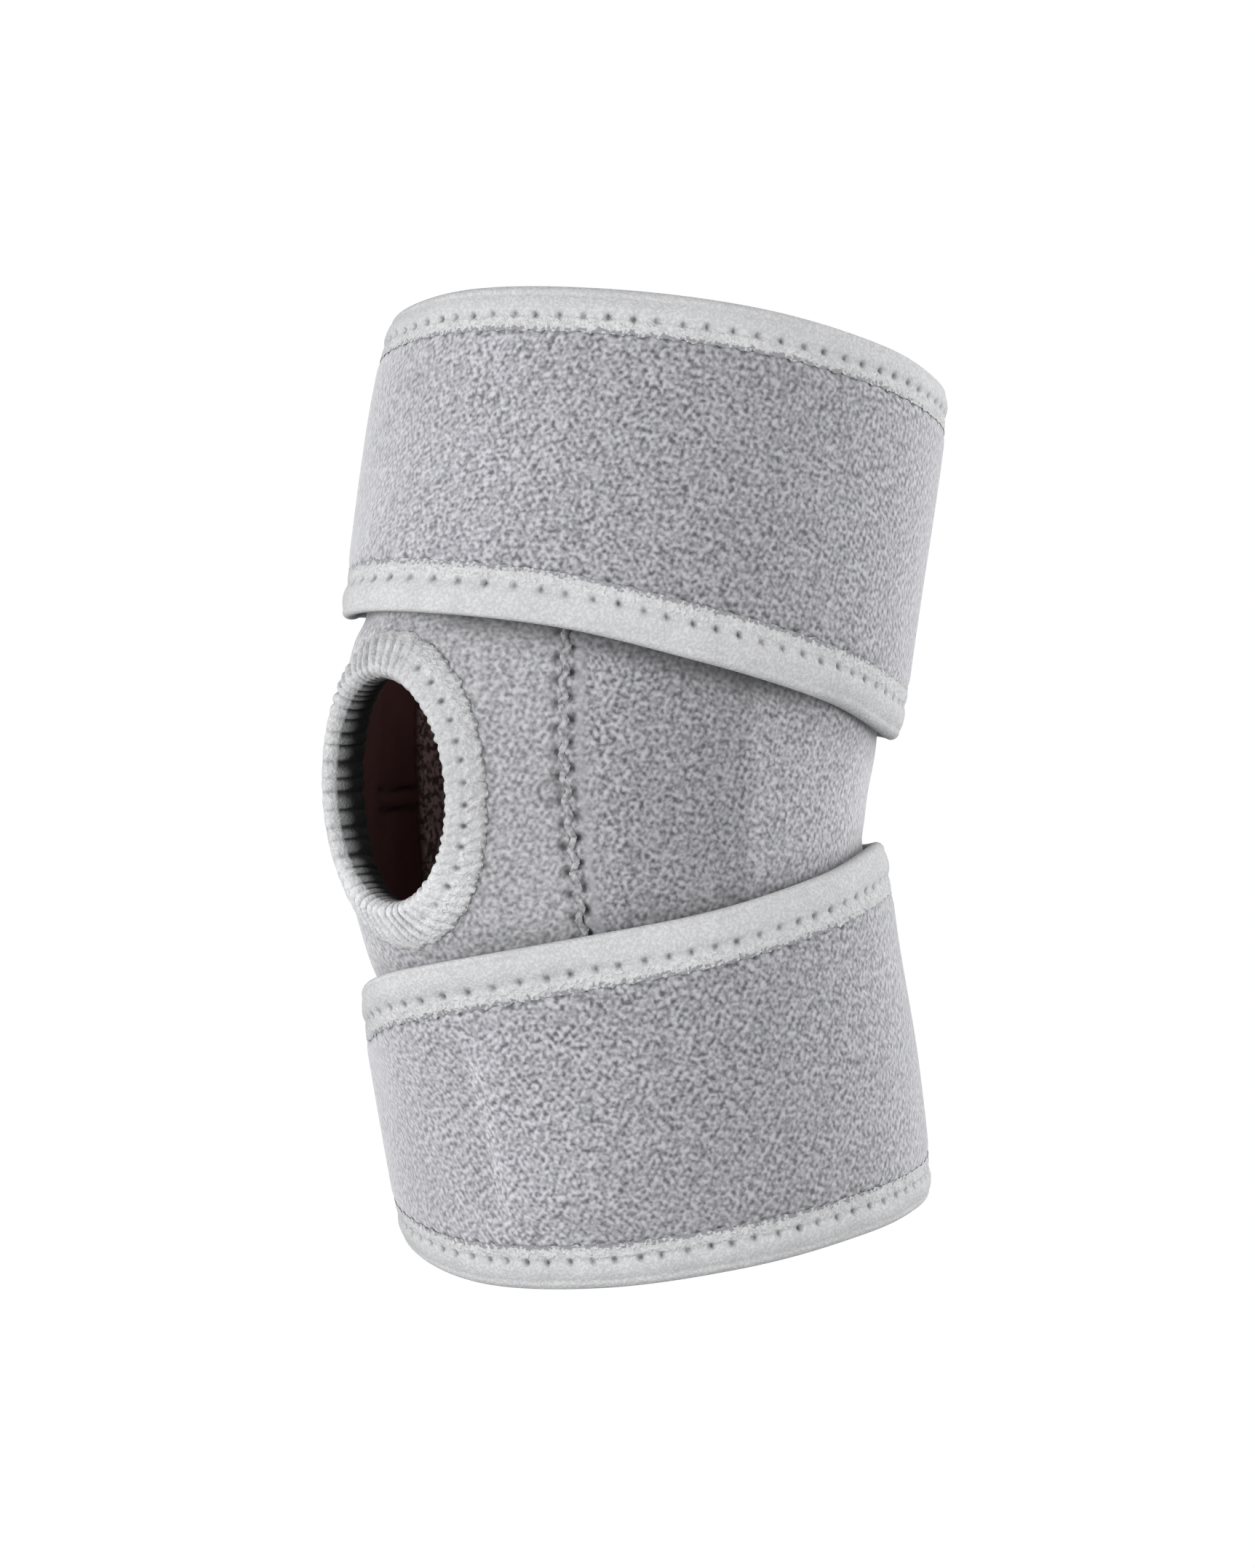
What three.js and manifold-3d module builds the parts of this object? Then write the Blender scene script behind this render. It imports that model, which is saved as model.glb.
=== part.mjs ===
import * as THREE from 'three';
import Module from 'manifold-3d';

// Elbow brace as worn: a bent sleeve with an open hole over the elbow tip and a strap round each half.
// Sizes are in millimetres and angles in degrees. Angle 0 is at the elbow tip (-Y) and grows towards +X.
// A layer is a height above the sleeve's outer face.

// Bend of the arm
const HALF_BEND = 12;
const BEND_ROUNDING = 30;

// Sleeve sections from the forearm up: outer radius and how far the crook of the elbow is drawn in
const SECTIONS = [
  { height: -100, radius: 49.2, crookDent: 0.0 },
  { height: -55, radius: 50.4, crookDent: 0.4 },
  { height: -25, radius: 51.2, crookDent: 3.2 },
  { height: -5, radius: 51.8, crookDent: 4.3 },
  { height: 20, radius: 52.6, crookDent: 2.8 },
  { height: 55, radius: 53.1, crookDent: 0.2 },
  { height: 76, radius: 53.1, crookDent: 0.0 },
  { height: 100, radius: 51.8, crookDent: 0.0 },
];

// Swell of the elbow tip
const TIP_SWELL = 12.8;
const TIP_HALF_ANGLE = 46.5;
const TIP_HALF_HEIGHT = 77;
const TIP_ROUNDING = 2.2;

// Outer edges of the straps: heights at even steps of angle from the elbow tip
const STRAP_EDGES = {
  upperTop: [95.3, 93.7, 90.3, 85.1, 80.0, 77.9, 77.5, 79.1, 83.0, 88.0, 91.8, 94.0],
  upperBottom: [33.6, 30.6, 23.9, 16.8, 10.0, 10.1, 11.1, 16.5, 24.5, 31.0, 34.0, 33.0],
  lowerTop: [-33.3, -27.5, -22.4, -16.1, -10.8, -11.7, -12.6, -17.1, -25.0, -33.0, -39.3, -39.4],
  lowerBottom: [-94.5, -93.2, -89.4, -85.1, -82.2, -80.6, -79.6, -80.0, -82.0, -85.5, -89.0, -91.9],
};

// How much of the crook's dent each strap follows
const UPPER_FOLLOW = 0.4;
const LOWER_FOLLOW = 1.0;

// Layers from the skin out. A strap is thin at its cut edge, thicker at the tape's sewn edge, full past it.
const GAP = 0.3;
const PANEL_THICKNESS = 2.2;
const LINING_THICKNESS = 1.0;
const TAPE_THICKNESS = 0.7;
const STRAP_THICKNESS = 3.0;
const SEWN_THICKNESS = 2.0;
const CUT_EDGE_THICKNESS = 1.2;
const GAP_OVER_LINING = 0.5;
const LINING_TOP = -PANEL_THICKNESS - GAP_OVER_LINING;
const LINING_BOTTOM = LINING_TOP - LINING_THICKNESS;
const GAP_UNDER_STRAP = 0.6;
const STRAP_BOTTOM = GAP_UNDER_STRAP + TAPE_THICKNESS + GAP;
const STRAP_TOP = STRAP_BOTTOM + STRAP_THICKNESS;
const SEWN_TOP = STRAP_BOTTOM + SEWN_THICKNESS;
const CUT_EDGE_TOP = STRAP_BOTTOM + CUT_EDGE_THICKNESS;
const TAPE_EDGE = GAP + TAPE_THICKNESS;
const OVERLAP_GAP = 0.5;
const OVERLAP_LIFT = STRAP_TOP + OVERLAP_GAP - GAP_UNDER_STRAP;

// Sleeve panels and lining
const TIP_SEAM = { angle: 34.4, lean: -0.07 };
const FAR_SEAM = { angle: -88, lean: 0 };
const SEAM_GAP_ANGLE = 0.35;
const ELBOW_PANEL_SPANS = 21;
const CROOK_PANEL_SPANS = 28;
const LINING_SPANS = 38;
const PANEL_RIM_INSET = 2.0;
const LINING_RIM_INSET = 3.0;
const MIDDLE_ROWS = [0.2, 0.4, 0.6, 0.8];

// Hole over the elbow tip and the band round it, which is narrower beside the hole than above and below it
const HOLE = { angle: 0.6, height: 0.4, halfWidth: 14.7, halfHeight: 20.8, tilt: 4.5 };
const HOLE_RADIUS = 62;
const RING_SPANS = 36;
const RING_BAND = 9.1;
const RING_NARROWING = 0.25;
const RING_TAPE = 1.7;
const RING_CROWN = 3.2;
const RING_INNER_BAND = 6.5;
const RING_INNER_GAP = 1.0;
const RING_ROUNDING = 1.2;
const RING_SHOULDER = 2.6;
const RING_RIM_THICKNESS = 0.7;
const RING_EDGE = GAP + RING_TAPE;
const CUT_DEPTH = 14;

// Straps
const STRAP_START = 200;
const STRAP_SPAN = 9.9;
const STRAP_SPANS = 40;
const CORNER_RADIUS = 11;
const CORNER_STEPS = [10, 30, 60, 90];
const STRAP_RADIUS = 60;
const RAMP_LENGTH = 32;
const RAMP_LEAD = 4;
const END_BAND_WIDTH = 8.4;
const MIDDLE_BAND_WIDTH = 9.7;
const RISE_GAP = 0.7;
const RISE_LENGTH = 1.0;
const DEEP_ROW = 25;
const ROW_STEP = 1;

// Rows of the sleeve that follow the straps' inner edges
const ROWS_UNDER_STRAP = [TAPE_EDGE, MIDDLE_BAND_WIDTH, DEEP_ROW];

// Soft step in the lower strap, a little to the +X side of the elbow tip
const STEP = { angle: 6.8, halfWidth: 3.5, height: 1.2, fade: 70 };
const STEP_BAND = { top: -46, full: -60, low: -76, bottom: -84 };

// Hook pads under the free ends
const TAB_LENGTH_ANGLE = 26;
const TAB_END_ANGLE = 12;
const TAB_SPANS = 5;
const TAB_MARGIN = 11.5;
const TAB_ROWS = [0, 1 / 3, 2 / 3, 1];

const { degToRad, smoothstep, lerp, clamp } = THREE.MathUtils;

// Smooth curve through one column of the sections table
function sectionValue(height, column) {
  const last = SECTIONS.length - 1;
  const slope = (k) => {
    const low = SECTIONS[Math.max(k - 1, 0)];
    const high = SECTIONS[Math.min(k + 1, last)];
    return (high[column] - low[column]) / (high.height - low.height);
  };
  const at = clamp(height, SECTIONS[0].height, SECTIONS[last].height);
  let k = 0;
  while (k < last - 1 && SECTIONS[k + 1].height <= at) k += 1;
  const length = SECTIONS[k + 1].height - SECTIONS[k].height;
  const t = (at - SECTIONS[k].height) / length;
  return (
    (1 + 2 * t) * (1 - t) ** 2 * SECTIONS[k][column] +
    t * (1 - t) ** 2 * length * slope(k) +
    t * t * (3 - 2 * t) * SECTIONS[k + 1][column] +
    t * t * (t - 1) * length * slope(k + 1)
  );
}

const signedAngle = (angle) => THREE.MathUtils.euclideanModulo(angle + 180, 360) - 180;

const centreY = (height) =>
  Math.tan(degToRad(HALF_BEND)) * (Math.hypot(height, BEND_ROUNDING) - BEND_ROUNDING);

function tipSwell(angle, height) {
  const reach = (signedAngle(angle) / TIP_HALF_ANGLE) ** 2 + (height / TIP_HALF_HEIGHT) ** 2;
  return TIP_SWELL * clamp(1 - reach, 0, 1) ** TIP_ROUNDING;
}

function pointAt(angle, height, radius) {
  const turn = degToRad(angle);
  return new THREE.Vector3(radius * Math.sin(turn), centreY(height) - radius * Math.cos(turn), height);
}

// Straps bridge the crook in part, so they follow only a share of its dent
function strapPoint(angle, height, layer, follow) {
  const dent = (follow * sectionValue(height, 'crookDent') * (1 - Math.cos(degToRad(angle)))) / 2;
  return pointAt(angle, height, sectionValue(height, 'radius') + tipSwell(angle, height) - dent + layer);
}

const sleevePoint = (angle, height, layer) => strapPoint(angle, height, layer, 1);

// Smooth closed curve through the heights of an edge
function edgeHeight(edge, angle) {
  const along = (THREE.MathUtils.euclideanModulo(angle, 360) / 360) * edge.length;
  const k = Math.floor(along);
  const t = along - k;
  const [before, start, end, after] = [-1, 0, 1, 2].map((step) => edge[(k + step + edge.length) % edge.length]);
  return (
    (1 + 2 * t) * (1 - t) ** 2 * start +
    (t * (1 - t) ** 2 * (end - before)) / 2 +
    t * t * (3 - 2 * t) * end +
    (t * t * (t - 1) * (after - start)) / 2
  );
}

// Closed surface through rings of points, its squares split along their shorter diagonals.
// Seen from behind the first ring, each ring runs anticlockwise.
// An open row of rings gets a cap at each end: triangles of ring positions, turned over at the far end.
function loft(rings, capTriangles) {
  const size = rings[0].length;
  const loops = capTriangles ? rings.length - 1 : rings.length;
  const index = [];
  for (let i = 0; i < loops; i += 1) {
    const next = (i + 1) % rings.length;
    for (let k = 0; k < size; k += 1) {
      const after = (k + 1) % size;
      const [a, b] = [i * size + k, i * size + after];
      const [c, d] = [next * size + after, next * size + k];
      const rising = rings[i][k].distanceTo(rings[next][after]);
      const falling = rings[i][after].distanceTo(rings[next][k]);
      if (rising < falling) index.push(a, d, c, a, c, b);
      else index.push(a, d, b, d, c, b);
    }
  }
  const end = (rings.length - 1) * size;
  for (const [p, q, r] of capTriangles ?? []) {
    index.push(p, q, r, end + p, end + r, end + q);
  }
  const geometry = new THREE.BufferGeometry();
  geometry.setFromPoints(rings.flat());
  geometry.setIndex(index);
  return geometry;
}

const outlineCap = (outline) => THREE.ShapeUtils.triangulateShape(outline, []);

// Sheet section: up its outer face and down its inner face
function sheetSection(heights, outerLayer, innerLayer) {
  const up = heights.map((height) => ({ height, layer: outerLayer }));
  const down = heights.map((height) => ({ height, layer: innerLayer })).reverse();
  return [...up, ...down];
}

// Cap of a sheet section with so many rows: a strip between its two faces
function sheetCap(rows) {
  const triangles = [];
  for (let k = 0; k < rows - 1; k += 1) {
    const inner = 2 * rows - 1 - k;
    triangles.push([k, k + 1, inner - 1], [k, inner - 1, inner]);
  }
  return triangles;
}

const sheetLoft = (rings) => loft(rings, sheetCap(rings[0].length / 2));

// Heights of the sleeve's rows at one angle
function sleeveRows(angle, rimInset) {
  const lowerTop = edgeHeight(STRAP_EDGES.lowerTop, angle);
  const upperBottom = edgeHeight(STRAP_EDGES.upperBottom, angle);
  return [
    edgeHeight(STRAP_EDGES.lowerBottom, angle) + rimInset,
    ...ROWS_UNDER_STRAP.toReversed().map((depth) => lowerTop - depth),
    ...MIDDLE_ROWS.map((share) => lerp(lowerTop, upperBottom, share)),
    ...ROWS_UNDER_STRAP.map((depth) => upperBottom + depth),
    edgeHeight(STRAP_EDGES.upperTop, angle) - rimInset,
  ];
}

const seamAngle = (seam, height) => seam.angle + seam.lean * height;

// Sleeve panel from one seam to the next
function panelGeometry(fromSeam, toSeam, turn, spans) {
  const rings = [];
  for (let i = 0; i <= spans; i += 1) {
    const share = i / spans;
    const guide = lerp(fromSeam.angle, toSeam.angle + turn, share);
    const section = sheetSection(sleeveRows(guide, PANEL_RIM_INSET), 0, -PANEL_THICKNESS);
    rings.push(section.map(({ height, layer }) => {
      const from = seamAngle(fromSeam, height) + SEAM_GAP_ANGLE / 2;
      const to = seamAngle(toSeam, height) + turn - SEAM_GAP_ANGLE / 2;
      return sleevePoint(lerp(from, to, share), height, layer);
    }));
  }
  return sheetLoft(rings);
}

function liningGeometry() {
  const rings = [];
  for (let i = 0; i < LINING_SPANS; i += 1) {
    const angle = (360 * i) / LINING_SPANS;
    const section = sheetSection(sleeveRows(angle, LINING_RIM_INSET), LINING_TOP, LINING_BOTTOM);
    rings.push(section.map(({ height, layer }) => sleevePoint(angle, height, layer)));
  }
  return loft(rings);
}

// Point near the hole: out is the distance from the cloth's cut edge towards the hole's middle
function holePoint(turn, out, layer) {
  const [cosine, sine] = [Math.cos(turn), Math.sin(turn)];
  const width = HOLE.halfWidth + RING_EDGE;
  const height = HOLE.halfHeight + RING_EDGE;
  const length = out < 0 ? out * (1 - RING_NARROWING * cosine ** 2) : out;
  const inward = new THREE.Vector2(-cosine / width, -sine / height).normalize().multiplyScalar(length);
  const flat = new THREE.Vector2(width * cosine, height * sine).add(inward);
  flat.rotateAround(new THREE.Vector2(), degToRad(HOLE.tilt));
  const angle = HOLE.angle + THREE.MathUtils.radToDeg(flat.x / HOLE_RADIUS);
  return { flat, point: sleevePoint(angle, HOLE.height + flat.y, layer) };
}

const holeTurns = Array.from({ length: RING_SPANS }, (_, i) => (-2 * Math.PI * i) / RING_SPANS);

function holeCutter() {
  const ring = (layer) => holeTurns.map((turn) => holePoint(turn, 0, layer).point);
  const outline = holeTurns.map((turn) => {
    const { flat } = holePoint(turn, 0, 0);
    return new THREE.Vector2(-flat.x, flat.y);
  });
  return loft([ring(-CUT_DEPTH), ring(CUT_DEPTH)], outlineCap(outline));
}

// Soft band folded round the hole's edge, gripping panel and lining
function ringGeometry() {
  const grip = LINING_BOTTOM - RING_INNER_GAP;
  const foot = grip - TAPE_THICKNESS;
  const outerReach = RING_EDGE - RING_BAND;
  const innerReach = RING_EDGE - RING_INNER_BAND;
  const middle = (RING_CROWN + foot) / 2;
  const section = [
    { out: outerReach, layer: GAP },
    { out: GAP, layer: GAP },
    { out: GAP, layer: grip },
    { out: innerReach, layer: grip },
    { out: innerReach, layer: foot },
    { out: RING_EDGE - RING_ROUNDING, layer: foot },
    { out: RING_EDGE, layer: middle - RING_ROUNDING },
    { out: RING_EDGE, layer: middle + RING_ROUNDING / 2 },
    { out: RING_EDGE - RING_ROUNDING, layer: RING_CROWN - RING_ROUNDING / 2 },
    { out: RING_EDGE - RING_SHOULDER, layer: RING_CROWN },
    { out: outerReach + RING_ROUNDING, layer: RING_CROWN - RING_ROUNDING / 3 },
    { out: outerReach, layer: GAP + RING_RIM_THICKNESS },
  ];
  return loft(holeTurns.map((turn) => section.map(({ out, layer }) => holePoint(turn, out, layer).point)));
}

// Straps wind once round and then ride over their own start
function overlapLift(angle) {
  const rampEnd = STRAP_START + 360 - RAMP_LEAD;
  return OVERLAP_LIFT * smoothstep(angle, rampEnd - RAMP_LENGTH, rampEnd);
}

function softStep(angle, height) {
  const along = signedAngle(angle) - STEP.angle;
  const rise = smoothstep(along, -STEP.halfWidth, STEP.halfWidth) * (1 - smoothstep(along, 0, STEP.fade));
  const above = smoothstep(height, STEP_BAND.full, STEP_BAND.top);
  const below = smoothstep(height, STEP_BAND.bottom, STEP_BAND.low);
  return STEP.height * rise * (1 - above) * below;
}

// Stations along a strap: plain ones, then those that round the corners of the free end
function strapStations() {
  const plain = Array.from({ length: STRAP_SPANS + 1 }, (_, i) => ({
    angle: STRAP_START + STRAP_SPAN * i,
    corner: 0,
  }));
  const endAngle = plain.at(-1).angle;
  const round = CORNER_STEPS.map((corner) => ({
    angle: endAngle + THREE.MathUtils.radToDeg((CORNER_RADIUS * Math.sin(degToRad(corner))) / STRAP_RADIUS),
    corner,
  }));
  return [...plain, ...round];
}

const cornerInset = (corner) => CORNER_RADIUS * (1 - Math.cos(degToRad(corner)));

// Depth inside a rounded corner, from the depths behind its two edges
function roundedDepth(first, second) {
  if (Math.max(first, second) >= CORNER_RADIUS) return Math.min(first, second);
  return CORNER_RADIUS - Math.hypot(CORNER_RADIUS - first, CORNER_RADIUS - second);
}

// Strap's outer face at a depth behind its cut edge: low under the tape, full past it
function strapTop(depth, bandWidth) {
  const sewnDepth = bandWidth - TAPE_EDGE;
  const covered = lerp(CUT_EDGE_TOP, SEWN_TOP, clamp(depth / sewnDepth, 0, 1));
  return lerp(covered, STRAP_TOP, clamp((depth - sewnDepth - RISE_GAP) / RISE_LENGTH, 0, 1));
}

function strapGeometry({ bottom, top, bottomBand, topBand, deepRowsFromBottom, deepRowsFromTop, follow, hasStep }) {
  const stations = strapStations();
  const endAngle = stations.at(-1).angle;
  const riseDepths = (band) => [band + RISE_GAP, band + RISE_GAP + RISE_LENGTH];
  const depthsFromBottom = [...riseDepths(bottomBand), ...deepRowsFromBottom];
  const depthsFromTop = [...riseDepths(topBand), ...deepRowsFromTop];
  const rings = [];
  for (const { angle, corner } of stations) {
    const inset = TAPE_EDGE + cornerInset(corner);
    const low = edgeHeight(bottom, angle);
    const high = edgeHeight(top, angle);
    const pushed = (depth, k) => Math.max(depth, inset + ROW_STEP * (k + 1));
    const heights = [
      low + inset,
      ...depthsFromBottom.map((depth, k) => low + pushed(depth, k)),
      ...depthsFromTop.map((depth, k) => high - pushed(depth, k)).reverse(),
      high - inset,
    ];
    const fromEnd = degToRad(endAngle - angle) * STRAP_RADIUS;
    const topLayer = (height) => Math.min(
      strapTop(roundedDepth(height - low - TAPE_EDGE, fromEnd), bottomBand),
      strapTop(roundedDepth(high - TAPE_EDGE - height, fromEnd), topBand),
      strapTop(fromEnd, MIDDLE_BAND_WIDTH),
    );
    const place = (height, layer) => {
      const step = hasStep ? softStep(angle, height) : 0;
      return strapPoint(angle, height, layer + step + overlapLift(angle), follow);
    };
    const outer = heights.map((height) => place(height, topLayer(height)));
    const inner = heights.map((height) => place(height, STRAP_BOTTOM)).reverse();
    rings.push([...outer, ...inner]);
  }
  return sheetLoft(rings);
}

// Folded tape section: out is the distance past the strap's cut edge
function tapeSection(bandWidth) {
  const reach = TAPE_EDGE - bandWidth;
  const edgeFace = CUT_EDGE_TOP + TAPE_EDGE;
  const innerFace = STRAP_BOTTOM - TAPE_EDGE;
  return [
    { out: reach, layer: SEWN_TOP + GAP },
    { out: GAP, layer: CUT_EDGE_TOP + GAP },
    { out: GAP, layer: STRAP_BOTTOM - GAP },
    { out: reach, layer: STRAP_BOTTOM - GAP },
    { out: reach, layer: innerFace },
    { out: 0, layer: innerFace },
    { out: TAPE_EDGE, layer: (innerFace + edgeFace) / 2 },
    { out: 0, layer: edgeFace },
    { out: reach, layer: SEWN_TOP + TAPE_EDGE },
  ];
}

// Tape along the bottom edge, round the free end and back along the top edge
function bindingGeometry({ bottom, top, bottomBand, topBand, deepRowsFromBottom, deepRowsFromTop, follow }) {
  const stations = strapStations();
  const along = stations.map(({ angle, corner }) => ({
    angle,
    height: edgeHeight(bottom, angle) + TAPE_EDGE + cornerInset(corner),
    outAlong: Math.sin(degToRad(corner)),
    outUp: -Math.cos(degToRad(corner)),
    band: bottomBand,
  }));
  const back = stations.map(({ angle, corner }) => ({
    angle,
    height: edgeHeight(top, angle) - TAPE_EDGE - cornerInset(corner),
    outAlong: Math.sin(degToRad(corner)),
    outUp: Math.cos(degToRad(corner)),
    band: topBand,
  }));
  const endAngle = stations.at(-1).angle;
  const endHeights = [
    ...deepRowsFromBottom.map((depth) => edgeHeight(bottom, endAngle) + depth),
    ...deepRowsFromTop.map((depth) => edgeHeight(top, endAngle) - depth),
  ];
  const across = endHeights.map((height) => ({
    angle: endAngle,
    height,
    outAlong: 1,
    outUp: 0,
    band: (bottomBand + topBand) / 2,
  }));
  const path = [...along, ...across, ...back.reverse()];
  const rings = path.map(({ angle, height, outAlong, outUp, band }) =>
    tapeSection(band).map(({ out, layer }) => {
      const place = angle + THREE.MathUtils.radToDeg((out * outAlong) / STRAP_RADIUS);
      return strapPoint(place, height + out * outUp, layer + overlapLift(angle), follow);
    }));
  const outline = tapeSection(bottomBand).map(({ out, layer }) => new THREE.Vector2(out, layer));
  return loft(rings, outlineCap(outline));
}

// Hook pad between the strap's free end and the turn below it
function tabGeometry({ bottom, top, follow }) {
  const endAngle = strapStations().at(-1).angle - TAB_END_ANGLE;
  const rings = [];
  for (let i = 0; i <= TAB_SPANS; i += 1) {
    const angle = endAngle - TAB_LENGTH_ANGLE * (1 - i / TAB_SPANS);
    const low = edgeHeight(bottom, angle) + TAB_MARGIN;
    const high = edgeHeight(top, angle) - TAB_MARGIN;
    const heights = TAB_ROWS.map((share) => lerp(low, high, share));
    const section = sheetSection(heights, STRAP_BOTTOM + OVERLAP_LIFT - GAP, STRAP_TOP + GAP);
    rings.push(section.map(({ height, layer }) => strapPoint(angle, height, layer, follow)));
  }
  return sheetLoft(rings);
}

const wasm = await Module();
wasm.setup();

function toManifold(geometry) {
  return new wasm.Manifold(new wasm.Mesh({
    numProp: 3,
    vertProperties: new Float32Array(geometry.attributes.position.array),
    triVerts: new Uint32Array(geometry.index.array),
  }));
}

function cutHole(geometry) {
  const cut = toManifold(geometry).subtract(toManifold(holeCutter())).getMesh();
  const result = new THREE.BufferGeometry();
  result.setAttribute('position', new THREE.BufferAttribute(cut.vertProperties, 3));
  result.setIndex(new THREE.BufferAttribute(cut.triVerts, 1));
  return result;
}

const UPPER_STRAP = {
  bottom: STRAP_EDGES.upperBottom,
  top: STRAP_EDGES.upperTop,
  bottomBand: MIDDLE_BAND_WIDTH,
  topBand: END_BAND_WIDTH,
  deepRowsFromBottom: [DEEP_ROW],
  deepRowsFromTop: [],
  follow: UPPER_FOLLOW,
  hasStep: false,
};
const LOWER_STRAP = {
  bottom: STRAP_EDGES.lowerBottom,
  top: STRAP_EDGES.lowerTop,
  bottomBand: END_BAND_WIDTH,
  topBand: MIDDLE_BAND_WIDTH,
  deepRowsFromBottom: [DEEP_ROW],
  deepRowsFromTop: [DEEP_ROW],
  follow: LOWER_FOLLOW,
  hasStep: true,
};

const MATERIALS = {
  pile: { color: 0xa3a3a8, roughness: 0.95, metalness: 0 },
  tape: { color: 0xc9c9cb, roughness: 0.85, metalness: 0 },
  lining: { color: 0x241614, roughness: 0.8, metalness: 0 },
  hook: { color: 0x55555a, roughness: 0.9, metalness: 0 },
};

const brace = new THREE.Group();
brace.name = 'elbow_brace';

function addPiece(name, geometry, look) {
  geometry.computeVertexNormals();
  const mesh = new THREE.Mesh(geometry, new THREE.MeshStandardMaterial(MATERIALS[look]));
  mesh.name = name;
  brace.add(mesh);
}

addPiece('elbow_panel', cutHole(panelGeometry(FAR_SEAM, TIP_SEAM, 0, ELBOW_PANEL_SPANS)), 'pile');
addPiece('crook_panel', panelGeometry(TIP_SEAM, FAR_SEAM, 360, CROOK_PANEL_SPANS), 'pile');
addPiece('lining', cutHole(liningGeometry()), 'lining');
addPiece('elbow_ring', ringGeometry(), 'tape');
addPiece('upper_strap', strapGeometry(UPPER_STRAP), 'pile');
addPiece('upper_strap_binding', bindingGeometry(UPPER_STRAP), 'tape');
addPiece('upper_hook_tab', tabGeometry(UPPER_STRAP), 'hook');
addPiece('lower_strap', strapGeometry(LOWER_STRAP), 'pile');
addPiece('lower_strap_binding', bindingGeometry(LOWER_STRAP), 'tape');
addPiece('lower_hook_tab', tabGeometry(LOWER_STRAP), 'hook');

export default brace;
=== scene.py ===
import math

import bpy
import numpy as np
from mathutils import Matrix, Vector


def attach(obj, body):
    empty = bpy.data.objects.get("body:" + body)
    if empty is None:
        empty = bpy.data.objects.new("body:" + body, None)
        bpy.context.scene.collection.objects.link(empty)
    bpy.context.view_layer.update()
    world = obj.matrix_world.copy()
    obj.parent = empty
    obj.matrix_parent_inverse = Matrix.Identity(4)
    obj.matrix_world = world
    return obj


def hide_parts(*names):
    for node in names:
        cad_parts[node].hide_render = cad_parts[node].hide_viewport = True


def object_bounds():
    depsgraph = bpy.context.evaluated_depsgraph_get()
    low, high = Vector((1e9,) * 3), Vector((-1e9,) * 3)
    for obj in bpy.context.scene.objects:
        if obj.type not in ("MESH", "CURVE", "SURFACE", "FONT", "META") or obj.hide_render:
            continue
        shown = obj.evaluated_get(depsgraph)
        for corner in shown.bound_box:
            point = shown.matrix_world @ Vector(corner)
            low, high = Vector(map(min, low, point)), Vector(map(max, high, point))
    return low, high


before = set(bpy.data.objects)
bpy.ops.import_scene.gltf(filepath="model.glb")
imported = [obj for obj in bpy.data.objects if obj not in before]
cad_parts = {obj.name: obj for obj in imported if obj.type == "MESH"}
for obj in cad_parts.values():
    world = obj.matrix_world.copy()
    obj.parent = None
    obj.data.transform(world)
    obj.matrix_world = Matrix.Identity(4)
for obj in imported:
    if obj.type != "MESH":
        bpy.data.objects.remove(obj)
cad_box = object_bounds()

# Sizes are in millimetres and angles in degrees. Angle 0 is at the elbow tip (-Y) and grows towards +X.
# A layer is a height above the sleeve's outer face. A hump is given as height, place and width.
MM = 0.001
SEED = 11
random = np.random.default_rng(SEED)
SHARP_ANGLE = 70

# Bend of the arm
HALF_BEND = 12
BEND_ROUNDING = 30

# Sleeve sections from the forearm up
SECTION_HEIGHT = np.array([-100.0, -55.0, -25.0, -5.0, 20.0, 55.0, 76.0, 100.0])
SECTION_RADIUS = np.array([49.2, 50.4, 51.2, 51.8, 52.6, 53.1, 53.1, 51.8])
CROOK_DENT = np.array([0.0, 0.4, 3.2, 4.3, 2.8, 0.2, 0.0, 0.0])

# Swell of the elbow tip
TIP_SWELL = 12.8
TIP_HALF_ANGLE = 46.5
TIP_HALF_HEIGHT = 77
TIP_ROUNDING = 2.2

# Outer edges of the straps: heights at even steps of angle from the elbow tip
UPPER_TOP = np.array([95.3, 93.7, 90.3, 85.1, 80.0, 77.9, 77.5, 79.1, 83.0, 88.0, 91.8, 94.0])
UPPER_BOTTOM = np.array([33.6, 30.6, 23.9, 16.8, 10.0, 10.1, 11.1, 16.5, 24.5, 31.0, 34.0, 33.0])
LOWER_TOP = np.array([-33.3, -27.5, -22.4, -16.1, -10.8, -11.7, -12.6, -17.1, -25.0, -33.0, -39.3, -39.4])
LOWER_BOTTOM = np.array([-94.5, -93.2, -89.4, -85.1, -82.2, -80.6, -79.6, -80.0, -82.0, -85.5, -89.0, -91.9])

# Layers from the skin out. A strap is thin at its cut edge, thicker at the tape's sewn edge, full past it.
PANEL_THICKNESS = 2.2
LINING_TOP = -2.7
LINING_BOTTOM = -3.7
STRAP_BOTTOM = 1.6
STRAP_TOP = 4.6
SEWN_TOP = 3.6
CUT_EDGE_TOP = 2.8
TAPE_EDGE = 1.0
OVERLAP_LIFT = 4.5

# Needle holes and waves, and the limit of the mark of needle holes and painted shade
NEEDLE_SHIFT = 0.07
NEEDLE_SIDE_SHARE = 0.4
WAVE_COUNT = 5
HOLE_AND_SHADE_LIMIT = 0.9

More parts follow.
